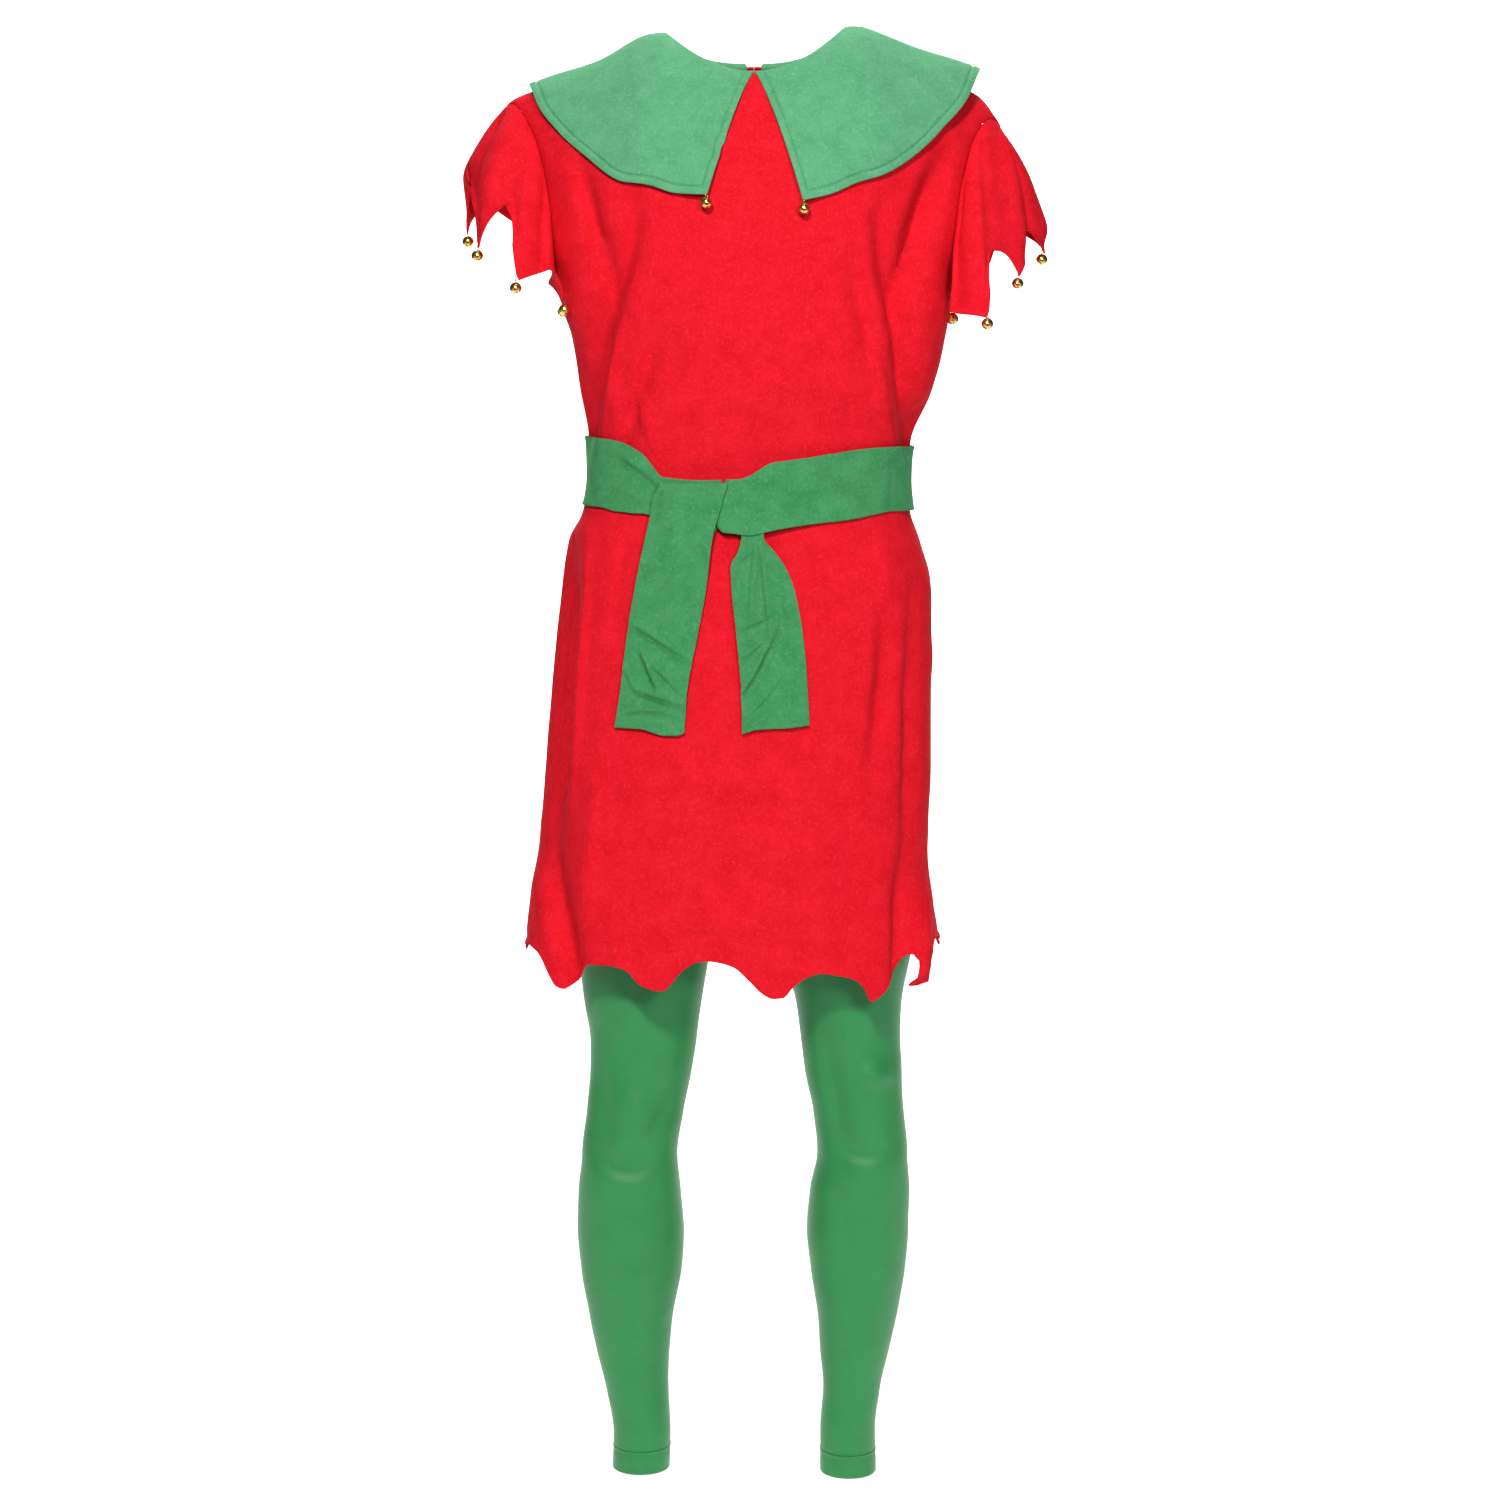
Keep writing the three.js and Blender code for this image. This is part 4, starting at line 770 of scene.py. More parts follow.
CAP_SEAM = (-0.9, 3)
SLEEVE_EDGE = (1, 2.5)
CAP_SHARES = np.array([0.62, 0.6, 0.3])
SLEEVE_MIDDLE = (235, 0, -160)
SLEEVE_FOLDS = {
    -1: fold_table(
        (1.0, 0.1, 1.2, 0.5, 1.0, 0.9, 0.7, -7, 0.0),
        (3.2, 0.15, 3.0, 0.5, 2.6, 0.85, 0.8, 4, 0.0),
        (5.2, 0.2, 5.0, 0.6, 4.4, 0.8, 0.9, -4, 0.0),
        (8.6, 0.1, 8.2, 0.5, 8.0, 0.9, 0.9, -4, 0.0),
        (20.5, 0.1, 20.2, 0.5, 20.0, 0.9, 0.9, -5, 0.0),
        (17.6, 0.2, 17.4, 0.5, 17.2, 0.9, 0.9, 4, 0.0),
    ),
    1: fold_table(
        (0.2, 0.05, 0.5, 0.4, 0.5, 1.0, 0.5, -9, 0.0),
        (1.4, 0.08, 1.7, 0.4, 1.6, 1.0, 0.6, 5, 0.0),
        (3.0, 0.2, 3.2, 0.6, 3.0, 0.9, 0.8, -2.5, 0.0),
        (5.0, 0.15, 4.8, 0.5, 4.6, 0.9, 0.9, -3, 0.0),
        (8.6, 0.1, 8.4, 0.5, 8.0, 0.9, 0.9, -5, 0.0),
        (20.5, 0.1, 20.2, 0.5, 20.0, 0.9, 0.9, -5, 0.0),
        (17.6, 0.2, 17.4, 0.5, 17.2, 0.9, 0.9, 4, 0.0),
    ),
}


def turned(rows, count, wanted=None):
    """A round table once more before and after itself, with only tips or notches if wanted."""
    keep = slice(None) if wanted is None else rows["tip"] == wanted
    made = {name: np.tile(column[keep], 3) for name, column in rows.items()}
    made["column"] = made["column"] + np.repeat([-count, 0, count], len(made["column"]) // 3)
    return made


def point_height(rows, at):
    """Height of a sleeve's edge, a hollow curve from each notch to a sharp point."""
    order = np.argsort(rows["column"])
    columns, heights, tips = rows["column"][order], rows["z"][order], rows["tip"][order]
    k = np.searchsorted(columns, at, side="right") - 1
    t = (at - columns[k]) / (columns[k + 1] - columns[k])
    near = np.where(tips[k] == 1, 1 - t, t)
    tip = np.where(tips[k] == 1, heights[k], heights[k + 1])
    notch = np.where(tips[k] == 1, heights[k + 1], heights[k])
    return mix(notch, tip, near ** rows["power"][order][k])


def sleeve(hand, hem):
    """Sleeve from the armhole to its pointed hem."""
    edge = 0 if hand < 0 else -1
    loop, through = (
        np.concatenate([front[edge, armpit_row:][::-1], back[edge, armpit_row + 1:-1]])
        for front, back in ((front_grid, back_grid), (front_normals, back_normals))
    )
    loop[[0, front_grid.shape[1] - armpit_row - 1], 1] = 0
    count = len(loop)
    at = np.arange(count) * (SLEEVE_COLUMNS / count)
    tangent = np.roll(loop, -1, 0) - np.roll(loop, 1, 0)
    away = unit(np.cross(tangent, through))
    away *= np.sign(away[:, :1] * hand)
    starts = loop + away * SEAM
    notches = turned(hem, SLEEVE_COLUMNS, 0)
    edges = turned(hem, SLEEVE_COLUMNS)
    swell = curve(edges, "column", "swell")(at)
    top = np.stack([curve(notches, "column", key)(at) for key in "xyz"], -1)
    end_x, end_y = (curve(edges, "column", key)(at) for key in "xy")
    end = np.stack([end_x, end_y, point_height(edges, at)], -1)
    top[:, :2] = mix(top[:, :2], end[:, :2], 0.5)
    top[:, 0] += hand * swell
    control = mix(starts, top, CAP_SHARES)
    steps = np.linspace(0, 1, 41)
    columns = []
    for i in range(count):
        cap = bezier(starts[i], control[i], top[i], steps[:, None])
        path = np.concatenate([cap, end[i:i + 1]]) if top[i, 2] - end[i, 2] > 0.5 else cap
        length = np.concatenate([[0], np.cumsum(np.linalg.norm(np.diff(path, axis=0), axis=1))])
        wanted = np.linspace(0, length[-1], SLEEVE_ROWS + 1)
        columns.append(np.stack([np.interp(wanted, length, path[:, k]) for k in range(3)], -1))
    grid = soften(np.array(columns), True, 10)
    centre = SLEEVE_MIDDLE * np.array([hand, 1, 1])
    normals = grid_normals(grid, True, grid - centre)
    share = np.linspace(0, 1, SLEEVE_ROWS + 1)[None, :] * np.ones((count, 1))
    place = at[:, None] * np.ones((1, SLEEVE_ROWS + 1))
    height = sleeve_folds(SLEEVE_FOLDS[hand], place, share)
    height += unevenness(grid[..., 1] + 300, grid[..., 2], 3 + hand) * 0.6
    height *= smooth_step(share, 0, 0.12)
    height += wave(edge_distance(grid, 1, 0), *CAP_SEAM)
    height += wave(edge_distance(grid, 1, -1), *SLEEVE_EDGE)
    grid = grid + normals * height[..., None]
    normals = grid_normals(grid, True, grid - centre)
    name = handed("sleeve", hand)
    made = shell(name + "_cloth", grid, normals, FLEECE, True, (0, 0, 0.1, 1.0), RED)
    declare(made, [name])
    seam = armhole_seam(name + "_seam", loop, away, through)


def sleeve_folds(folds, column, share):
    """Folds down a sleeve: column and share of the length are their two directions."""
    total = np.zeros(column.shape)
    half = SLEEVE_COLUMNS / 2
    for fold in each_row(folds):
        along = np.clip((share - fold["z0"]) / (fold["z2"] - fold["z0"]), 0, 1)
        middle = bezier(fold["x0"], fold["x1"], fold["x2"], along)
        apart = (column - middle + half) % SLEEVE_COLUMNS - half
        beyond = np.maximum(0, fold["z0"] - share) + np.maximum(0, share - fold["z2"])
        taper = wave(beyond, 1, 0.12) * smooth_step(share, 0, fold["z0"] + 0.15)
        total += wave(apart, fold["height"] * taper, fold["width"])
    return total


ALLOWANCE = {"steps": (-7, -4.5, -2, 0, 1.2), "under": FLEECE + 0.5, "thickness": 1.0}


def armhole_seam(name, loop, away, through):
    """Seam allowance inside the armhole, under the edges of the panels and the sleeve."""
    steps = np.array(ALLOWANCE["steps"])
    grid = loop[:, None] + away[:, None] * steps[None, :, None]
    grid = grid - through[:, None] * ALLOWANCE["under"]
    normals = np.repeat(through[:, None], len(steps), axis=1)
    made = shell(name, grid, normals, ALLOWANCE["thickness"], True, (0, 0, 0.3, 0.3), RED)
    return declare(made, [])


sleeve(-1, SLEEVE_RIGHT_HEM)
sleeve(1, SLEEVE_LEFT_HEM)


# Collar

COLLAR_RIGHT = table(
    "t x z side lift",
    (0.0, -41, -150, -1, 6), (0.09, -70, -148, -1, 2), (0.2, -117, -138, -1, 2),
    (0.29, -154, -116, -1, 2), (0.37, -182, -92, -1, 3), (0.45, -203, -66, -1, 5),
    (0.52, -213, -44, 0, 4), (0.6, -203, -62, 1, 5), (0.7, -168, -98, 1, 3),
    (0.8, -122, -124, 1, 2), (0.9, -70, -136, 1, 2), (1.0, -16, -138, 1, 2),
)
COLLAR_LEFT = table(
    "t x z side lift",
    (0.0, 51, -155, -1, 6), (0.09, 76, -149, -1, 2), (0.2, 118, -134, -1, 3),
    (0.29, 154, -116, -1, 5), (0.37, 182, -92, -1, 9), (0.45, 206, -66, -1, 17),
    (0.52, 216, -46, 0, 21), (0.6, 208, -62, 1, 17), (0.7, 176, -98, 1, 7),
    (0.8, 130, -124, 1, 3), (0.9, 78, -136, 1, 2), (1.0, 24, -138, 1, 2),
)
COLLAR_STAND = {-1: 2, 1: 8}
COLLAR_THICKNESS = 2.0
COLLAR_TUCK = {"front": 4, "back": 13}
COLLAR_GAP = {"front": 1.2, "back": 8}
COLLAR_ROUND = {"front": 89, "back": -84}
COLLAR_OUT = {"side": 0.35, "up": 0.94}
COLLAR_SEAT = {"neck": 0.3, "cape": 1.6}
COLLAR_ROLL = {"turn": 72, "steps": 7, "bulge": 3.4}
COLLAR_FINE = {"first": 0.045, "last": 0.955, "columns": 130, "rows": 34, "edge": 0.0031}
SEWN_EDGE = {"groove": (-1.3, 1.1, 7), "ridge": (0.5, 2.2, 3.4)}
EDGE_STEPS = (0, 0.8, 1.6, 2.6, 3.6, 4.6, 5.4, 6.0, 6.6, 7.2, 7.8, 8.4, 9.2, 10.4, 12)
COLLAR_CREASES = {
    -1: fold_table(
        (-62, -84, -50, -104, -28, -118, 4, -3.2, 0.2),
        (-34, -82, -28, -100, -16, -116, 3.5, -3, 0.2),
        (-50, -80, -40, -102, -22, -114, 4, 2.2, 0.2),
        (-110, -50, -100, -90, -90, -130, 14, 1.6, 0.0),
    ),
    1: fold_table(
        (70, -80, 90, -96, 130, -104, 12, -1.4, 0.0),
        (150, -60, 168, -78, 190, -84, 10, -2.2, 0.0),
        (96, -20, 120, -60, 150, -90, 14, 1.6, 0.0),
    ),
}


def angle_at(x, z):
    share = 1 - np.maximum(0, ridge(x) - z) / SHOULDER_DROP
    return np.degrees(np.arccos(np.clip(share, 0, 1)))


def signed_shoulder(x, angle):
    front = shoulder_base(-1, x, np.abs(angle))
    back = shoulder_base(1, x, np.abs(angle))
    return np.where((angle < 0)[..., None], front, back)


def collar_shares():
    """Shares along the collar's outline, close together near its front and back edges."""
    ends = np.array(EDGE_STEPS) * COLLAR_FINE["edge"]
    even = np.linspace(COLLAR_FINE["first"], COLLAR_FINE["last"], COLLAR_FINE["columns"])
    return np.concatenate([ends, even, 1 - ends[::-1]])


def collar(hand, rows):
    """One half of the cape collar: turned in over the neck edge, laid on the shoulders and lifted
    off them at its outer edge."""
    outline = dict(rows)
    outline["angle"] = rows["side"] * angle_at(rows["x"], rows["z"])
    t = collar_shares()
    outer_x, outer_angle, lift = (curve(outline, "t", key)(t) for key in ("x", "angle", "lift"))
    meet = np.where(t < 0.5, COLLAR_GAP["front"], COLLAR_GAP["back"])
    round_it = np.radians(mix(COLLAR_ROUND["front"], COLLAR_ROUND["back"], t))
    neck_x = SHOULDER_CENTRE + hand * np.maximum(meet, NECK_HALF * np.cos(round_it))
    neck = np.where(t < 0.5, -neck_angle(-1, neck_x), neck_angle(1, neck_x))
    side_share = np.cos(round_it)[:, None] ** 2
    stand = COLLAR_STAND[hand] * side_share

    def place(f, height):
        """Points at a share f from the neck to the outline, and the way out at each."""
        x = mix(neck_x[:, None], outer_x[:, None], f)
        angle = mix(neck[:, None], outer_angle[:, None], f)
        up = np.cos(np.radians(angle))
        way = [hand * COLLAR_OUT["side"] * up, np.sin(np.radians(angle)), COLLAR_OUT["up"] * up]
        out = unit(np.stack(way, -1))
        return signed_shoulder(x, angle) + out * height[..., None], out

    far, near_neck = (place(np.full((1, 1), share), 0 * stand)[0] for share in (1.0, 0.0))
    length = np.linalg.norm(far - near_neck, axis=-1)
    near = 1 - np.array(EDGE_STEPS)[None, :] / length
    wide = mix(0, near[:, -1:], np.linspace(0, 1, COLLAR_FINE["rows"])[None, 1:-1])
    f = np.concatenate([np.zeros((len(t), 1)), wide, near[:, ::-1]], 1)
    seat = mix(COLLAR_SEAT["neck"], COLLAR_SEAT["cape"], smooth_step(f, 0, 0.15))
    height = seat + mix(stand, lift[:, None], f ** 1.5) + FLEECE
    upper, out = place(f, height)

    tuck = mix(COLLAR_TUCK["front"], COLLAR_TUCK["back"], smooth_step(t, 0.42, 0.62))[:, None]
    under = tuck / length * np.linspace(1, 0, COLLAR_ROLL["steps"])[None, :]
    low = -(FLEECE + 0.5 + COLLAR_THICKNESS)
    lower, _ = place(under, low + 0 * under)
    start, out_start = place(np.zeros((1, 1)), height[:, :1])
    ahead = unit(place(near[:, -1:] * 0.1, height[:, :1])[0] - start)
    radius = (height[:, :1] - low) / 2
    turn = COLLAR_ROLL["turn"]
    turns = np.radians(np.linspace(-turn, turn, COLLAR_ROLL["steps"]))[None, :]
    bulge = np.minimum(radius, COLLAR_ROLL["bulge"])
    rise, reach = (radius * np.sin(turns))[..., None], (bulge * np.cos(turns))[..., None]
    roll = start - out_start * radius[..., None] + (out_start * rise - ahead * reach)
    grid = soften(np.concatenate([lower, roll, upper], 1), False, 3)
    first = lower.shape[1] + roll.shape[1]
    outward = np.zeros(grid.shape)
    outward[:, first:] = out
    normals = grid_normals(grid, False, outward)
    cape = np.zeros(grid.shape[:2])
    cape[:, first:] = 1
    x, y, z = grid[..., 0], grid[..., 1], grid[..., 2]
    extra = np.where(y < 0, fold_height(COLLAR_CREASES[hand], x, z), 0)
    extra += unevenness(x, y + z, 5 + hand) * 0.45
    extra *= cape * smooth_step(edge_distance(grid, 1, 0), tuck + 8, tuck + 24)
    nearest = np.minimum(edge_distance(grid, 1, -1), edge_distance(grid, 0, 0))
    nearest = np.minimum(nearest, edge_distance(grid, 0, -1))
    for shape in SEWN_EDGE.values():
        extra += wave(nearest, *shape) * cape
    grid = grid + normals * extra[..., None]
    normals = grid_normals(grid, False, outward)
    name = handed("collar", hand)
    rims = (1.0, 1.0, 0.3, 1.0)
    made = shell(name + "_cloth", grid, normals, COLLAR_THICKNESS, False, rims, GREEN)
    declare(made, [name])
    return made, grid[:, first:], normals[:, first:]


collar_right, collar_right_grid, collar_right_normals = collar(-1, COLLAR_RIGHT)
collar_left, collar_left_grid, collar_left_normals = collar(1, COLLAR_LEFT)


# Sash: one strip that goes round the waist, folds over itself at the knot and hangs in two tails

BAND_EDGES = {
    -1: table(
        "x top bottom",
        (-165, -382, -447), (-140, -383, -448), (-124, -386, -451.5), (-116, -389, -452),
        (-108, -393, -453), (-100, -399, -453), (-93, -408, -454), (-83, -419, -458),
        (-48, -422, -466), (-21, -421, -472), (-10, -417, -477), (0, -412, -475), (8, -408.5, -472),
        (20, -405, -469), (39, -402.5, -465.5), (58, -400, -463), (77, -397, -461),
        (97, -393.5, -458.5), (116, -391.5, -455), (136, -391, -452), (160, -392, -453),
    ),
    1: table("x top bottom", (-165, -382, -447), (0, -377, -443), (160, -392, -453)),
}
BAND_ROWS = 26
BAND_COLUMNS = {"front": 110, "back": 130}
SASH_RIMS = (0.7, 0.7, 0.7, 0.7)
SASH_EDGE = (0.5, 2.5)
BAND_SEAT = 1.6
BAND_START = -0.125
FOLD_RISE = 6.6
FOLD_RADIUS = 3.1
FOLD_NARROWING = 0.16
FOLD_EDGE = table("z x", (-471, -24), (-464, -29), (-454, -28.6), (-430, -22.6), (-421, -20.4))
FOLD_START = 78
FOLD_COLUMNS = 52
WAIST_Z = -428
BAND_CREASES = fold_table(
    (-130, -394, -112, -404, -88, -426, 5, 3.2, 0.4),
    (-128, -406, -110, -416, -90, -438, 4, -3.0, 0.2),
    (-140, -424, -120, -430, -98, -444, 6, 2.0, 0.2),
    (-150, -392, -146, -420, -148, -446, 7, 1.4, 0.0),
    (58, -410, 70, -416, 88, -432, 3.5, 2.2, 0.5),
    (64, -408, 78, -416, 96, -430, 3, -1.8, 0.3),
    (40, -434, 66, -430, 96, -422, 5, 1.6, 0.3),
    (-4, -428, 16, -424, 30, -412, 5, 1.8, 0.3),
    (2, -446, 24, -450, 52, -446, 7, 1.5, 0.0),
    (108, -400, 126, -412, 140, -430, 8, 1.4, 0.0),
    (138, -396, 142, -420, 140, -448, 6, -1.6, 0.0),
)


def body_ring(side, u, z):
    """Points of the tunic's surface at shares u and heights z, and the way out at each."""
    centre, half, depth = section(side, z)
    x = np.array([across_section(a, h, h, d)
                  for a, h, d in zip(u.ravel(), half.ravel(), depth.ravel())]).reshape(u.shape)
    y = section_depth(x, half, depth)
    slope = np.arctan2(y / depth, np.abs(x) / half)
    out = np.stack([np.sign(x) * np.cos(slope), side * np.sin(slope), np.zeros_like(x)], -1)
    place = np.stack([centre + x, side * (y + SEAM / 2), z], -1)
    folds = FRONT_FOLDS if side < 0 else BACK_FOLDS
    fade = np.minimum(1, (1 - np.abs(u)) / 0.1)
    return place + out * (fold_height(folds, centre + x, z) * fade)[..., None], out


def front_surface(x, z):
    """Y of the tunic's front, over its troughs but with its ridges."""
    centre, half, depth = section(-1, z)
    y = section_depth(x - centre, half, depth)
    return -y - np.maximum(0, fold_height(FRONT_FOLDS, x, z))


def band_part(side, u):
    """Stretch of the band at shares u round one side, seated on the tunic."""
    edges = BAND_EDGES[side]
    f = np.linspace(0, 1, BAND_ROWS + 1)[None, :]
    middle, _ = body_ring(side, u, np.full(u.shape, WAIST_Z))
    x = middle[:, 0]
    z = mix(curve(edges, "x", "bottom")(x)[:, None], curve(edges, "x", "top")(x)[:, None], f)
    points, out = body_ring(side, u[:, None] * np.ones_like(z), z)
    return points + out * (BAND_SEAT + FLEECE)


def band_fold():
    """The strip's front stretch over the knot, ending in the fold where it turns under itself."""
    edges = BAND_EDGES[-1]
    rows = np.linspace(0, 1, BAND_ROWS + 1)[None, :]
    share = np.linspace(0, 1, FOLD_COLUMNS)[:, None]
    edge_z = mix(FOLD_EDGE["z"][0], FOLD_EDGE["z"][-1], rows)
    edge = curve(FOLD_EDGE, "z", "x")(edge_z)
    x = mix(FOLD_START, edge, share)
    z = mix(curve(edges, "x", "bottom")(x), curve(edges, "x", "top")(x), rows)
    z = mix(z, edge_z, smooth_step(share, 0.55, 1))
    rise = FOLD_RISE * smooth_step(x, FOLD_START + 10, 6)
    y = front_surface(x, z) - BAND_SEAT - FLEECE - rise
    over = np.stack([x, y, z], -1)
    turns = np.radians(np.linspace(0, 180, 11))[1:, None]
    swing = [-np.sin(turns) * FOLD_RADIUS, (1 - np.cos(turns)) * FOLD_RADIUS, np.zeros_like(turns)]
    under = over[-1][None] + np.stack(swing, -1)
    back = np.array([1.0, 0.04, 0]) * np.linspace(3, 16, 4)[:, None, None]
    behind = under[-1][None] + back
    middle = behind[..., 2:].mean(axis=1, keepdims=True)
    behind[..., 2:] = mix(behind[..., 2:], middle, FOLD_NARROWING)
    return np.concatenate([over, under, behind])


def sash_band():
    """The strip from under the knot round the waist, and back to its fold over the knot."""
    front, back = BAND_COLUMNS["front"], BAND_COLUMNS["back"]
    right_way = band_part(-1, np.linspace(BAND_START, -1, front, endpoint=False))
    round_back = band_part(1, np.linspace(-1, 1, back, endpoint=False))
    home = band_part(-1, np.linspace(1, 0, front))
    home = home[home[:, 0, 0] > FOLD_START + 1]
    joined = np.concatenate([right_way, round_back, home])
    seam = len(joined)
    grid = np.concatenate([joined, band_fold()])
    grid[:seam + 30] = soften(grid[:seam + 30], False, 6)
    outward = np.zeros(grid.shape)
    outward[:seam] = grid[:seam] * np.array([1.0, 1.0, 0.0])
    normals = grid_normals(grid, False, outward)
    x, y, z = grid[..., 0], grid[..., 1], grid[..., 2]
    hidden = np.zeros(grid.shape[:2])
    hidden[seam + FOLD_COLUMNS:] = 1
    height = np.where(y < 0, fold_height(BAND_CREASES, x, z), 0)
    height += unevenness(x + y, z, 8) * 0.5
    for end in (0, -1):
        height += wave(edge_distance(grid, 1, end), *SASH_EDGE)
    height = np.maximum(height, -1.1) * (1 - hidden)
    grid = grid + normals * height[..., None]
    normals = grid_normals(grid, False, outward)
    made = shell("sash_band_cloth", grid, normals, FLEECE, False, SASH_RIMS, SASH_GREEN)
    return declare(made, ["sash_band", "sash_knot"])


band = sash_band()

TAIL_RIGHT = table(
    "z left right away",
    (-664, -131, -64, 5), (-623, -125, -61, 5), (-574, -119, -52, 5), (-526, -111, -43, 6),
    (-478, -101, -37, 10), (-454, -96, -30.5, 12), (-436, -93, -25.5, 12.5), (-427, -87, -22, 12.5),
)
TAIL_LEFT = table(
    "z left right away",
    (-665, -7, 57, 5), (-623, -8, 55, 5), (-574, -12, 51, 5.4), (-526, -17, 42, 5.9),
    (-503, -18, 33, 6.8), (-489, -11, 23, 7.6), (-477.3, -8, 13, 7.6), (-466, -7, 12, 7.2),
)
TAIL_FOOT = {
    "sash_tail_right": table("f drop", (0, 4.7), (0.35, 4), (0.74, -2), (0.9, -2), (1, 0.5)),
    "sash_tail_left": table("f drop", (0, 1), (0.22, 5), (0.7, 6.5), (1, 9)),
}
TAIL_CREASES = {
    "sash_tail_right": fold_table(
        (-118, -556, -92, -572, -56, -594, 3.5, 4.6, 0.5),
        (-118, -566, -92, -583, -58, -603, 3, -3.6, 0.3),
        (-109, -588, -104, -604, -94, -626, 2.4, -4.6, 0.3),
        (-105, -584, -97, -604, -88, -624, 3, 4.8, 0.3),
        (-107, -588, -88, -602, -60, -632, 3, 3.4, 0.4),
        (-114, -620, -92, -628, -60, -638, 3, 4.2, 0.4),
        (-116, -627, -94, -636, -62, -646, 2.6, -3.4, 0.2),
        (-124, -646, -98, -638, -74, -645, 3, 3.2, 0.3),
        (-122, -652, -100, -645, -78, -652, 3, -2.4, 0.3),
        (-124, -600, -114, -612, -110, -626, 3.4, 3.2, 0.3),
        (-100, -500, -84, -506, -62, -500, 8, 2.2, 0.2),
        (-94, -524, -80, -532, -60, -530, 7, -2.0, 0.2),
        (-70, -440, -72, -500, -84, -560, 8, 1.8, 0.0),
        (-92, -440, -94, -480, -106, -520, 6, -1.6, 0.0),
    ),
    "sash_tail_left": fold_table(
        (5, -480, 3, -510, -1, -560, 3, -3.4, 0.3),
        (10, -482, 16, -530, 20, -580, 4, 4.2, 0.4),
        (22, -575, 12, -610, -6, -634, 3, -4.0, 0.3),
        (-14, -502, -6, -494, 2, -488, 2.6, 3.2, 0.3),
        (-12, -562, 4, -560, 22, -548, 3, 3.4, 0.4),
        (-10, -590, 6, -586, 20, -562, 3, 3.4, 0.4),
        (-8, -624, 6, -606, 26, -560, 3, 4.4, 0.4),
        (-8, -632, 8, -614, 30, -570, 2.6, -3.4, 0.2),
        (-6, -648, 14, -636, 34, -600, 3, 2.6, 0.4),
        (30, -500, 38, -540, 44, -600, 5, -2.2, 0.2),
        (36, -600, 40, -620, 40, -655, 6, 2.0, 0.0),
    ),
}
TAIL_COLUMNS = 48
TAIL_ROWS = 150
TAIL_ROLL = {"turn": 125, "radius": 3.4}
POUCH = {"depth": 2.5, "length": 60, "z": -477.3}


def sash_tail(name, rows):
    """Hanging end of the sash on the skirt. The right one comes over the band in a rolled fold."""
    level = np.linspace(rows["z"].min(), rows["z"].max(), TAIL_ROWS + 1)[None, :]
    f = np.linspace(0, 1, TAIL_COLUMNS + 1)[:, None]
    x = mix(curve(rows, "z", "left")(level), curve(rows, "z", "right")(level), f)
    low = np.maximum(0, 1 - (level - level.min()) / 40)
    z = level + curve(TAIL_FOOT[name], "f", "drop")(f) * low
    away = curve(rows, "z", "away")(level) + 0 * f
    if name == "sash_tail_left":
        near = np.maximum(0, 1 - np.abs(POUCH["z"] - level) / POUCH["length"])
        away = away + POUCH["depth"] * np.sin(math.pi * f) * near * (level < POUCH["z"])
    grid = np.stack([x, front_surface(x, z) - away, z], -1)
    if name == "sash_tail_right":
        turns = np.radians(np.linspace(0, TAIL_ROLL["turn"], 9))[None, 1:]
        radius = TAIL_ROLL["radius"]
        roll = np.stack([0 * turns, radius * (1 - np.cos(turns)), radius * np.sin(turns)], -1)
        grid = np.concatenate([grid, grid[:, -1:] + roll], 1)
    grid = soften(grid, False, 2)
    outward = np.zeros(grid.shape)
    outward[:, :TAIL_ROWS, 1] = -1
    x, z = grid[..., 0], grid[..., 2]
    height = fold_height(TAIL_CREASES[name], x, z) + unevenness(x, z, 11) * 0.5
    for axis, end in ((1, 0), (0, 0), (0, -1)):
        height += wave(edge_distance(grid, axis, end), *SASH_EDGE)
    normals = grid_normals(grid, False, outward)
    grid = grid + normals * np.maximum(height, -2.4)[..., None]
    normals = grid_normals(grid, False, outward)
    made = shell(name + "_cloth", grid, normals, FLEECE, False, SASH_RIMS, SASH_GREEN)
    return declare(made, [name])


tail_right = sash_tail("sash_tail_right", TAIL_RIGHT)
tail_left = sash_tail("sash_tail_left", TAIL_LEFT)


# Leggings

LEG_MIDDLE = -5
LEG_UPPER = (
    (-890, 101.0, 67.2), (-820, 97.0, 76.0), (-750, 92.0, 84.0), (-705, 88.0, 88.0),
    (-690, 76.0, 100.0), (-670, 52.0, 123.0), (-640, 20.0, 153.0), (-600, 0.0, 170.0),
    (-534, 0.0, 165.0), (-480, 0.0, 156.0), (-440, 0.0, 150.0),
)
LEGS = {
    -1: table(
        "z centre half",
        (-1431, 106.5, 29.2), (-1394, 105.4, 29.1), (-1352, 109.9, 31.7), (-1310, 114.3, 37.4),
        (-1268, 116.2, 43.6), (-1226, 115.5, 51.2), (-1185, 116.4, 54.3), (-1143, 117.2, 52.1),
        (-1102, 116.6, 48.5), (-1060, 110.9, 49.0), (-1019, 105.1, 51.4), (-978, 102.0, 54.5),
        (-948, 102.4, 59.0), *LEG_UPPER,
    ),
    1: table(
        "z centre half",
        (-1431, 105.3, 28.6), (-1394, 104.8, 28.1), (-1352, 108.7, 29.1), (-1310, 111.6, 35.3),
        (-1268, 114.6, 41.4), (-1226, 114.9, 48.2), (-1185, 114.3, 51.7), (-1143, 116.2, 50.6),
        (-1102, 118.6, 45.9), (-1060, 114.4, 45.8), (-1019, 109.2, 48.9), (-978, 106.0, 50.9),
        (-948, 104.4, 53.3), *LEG_UPPER,
    ),
}
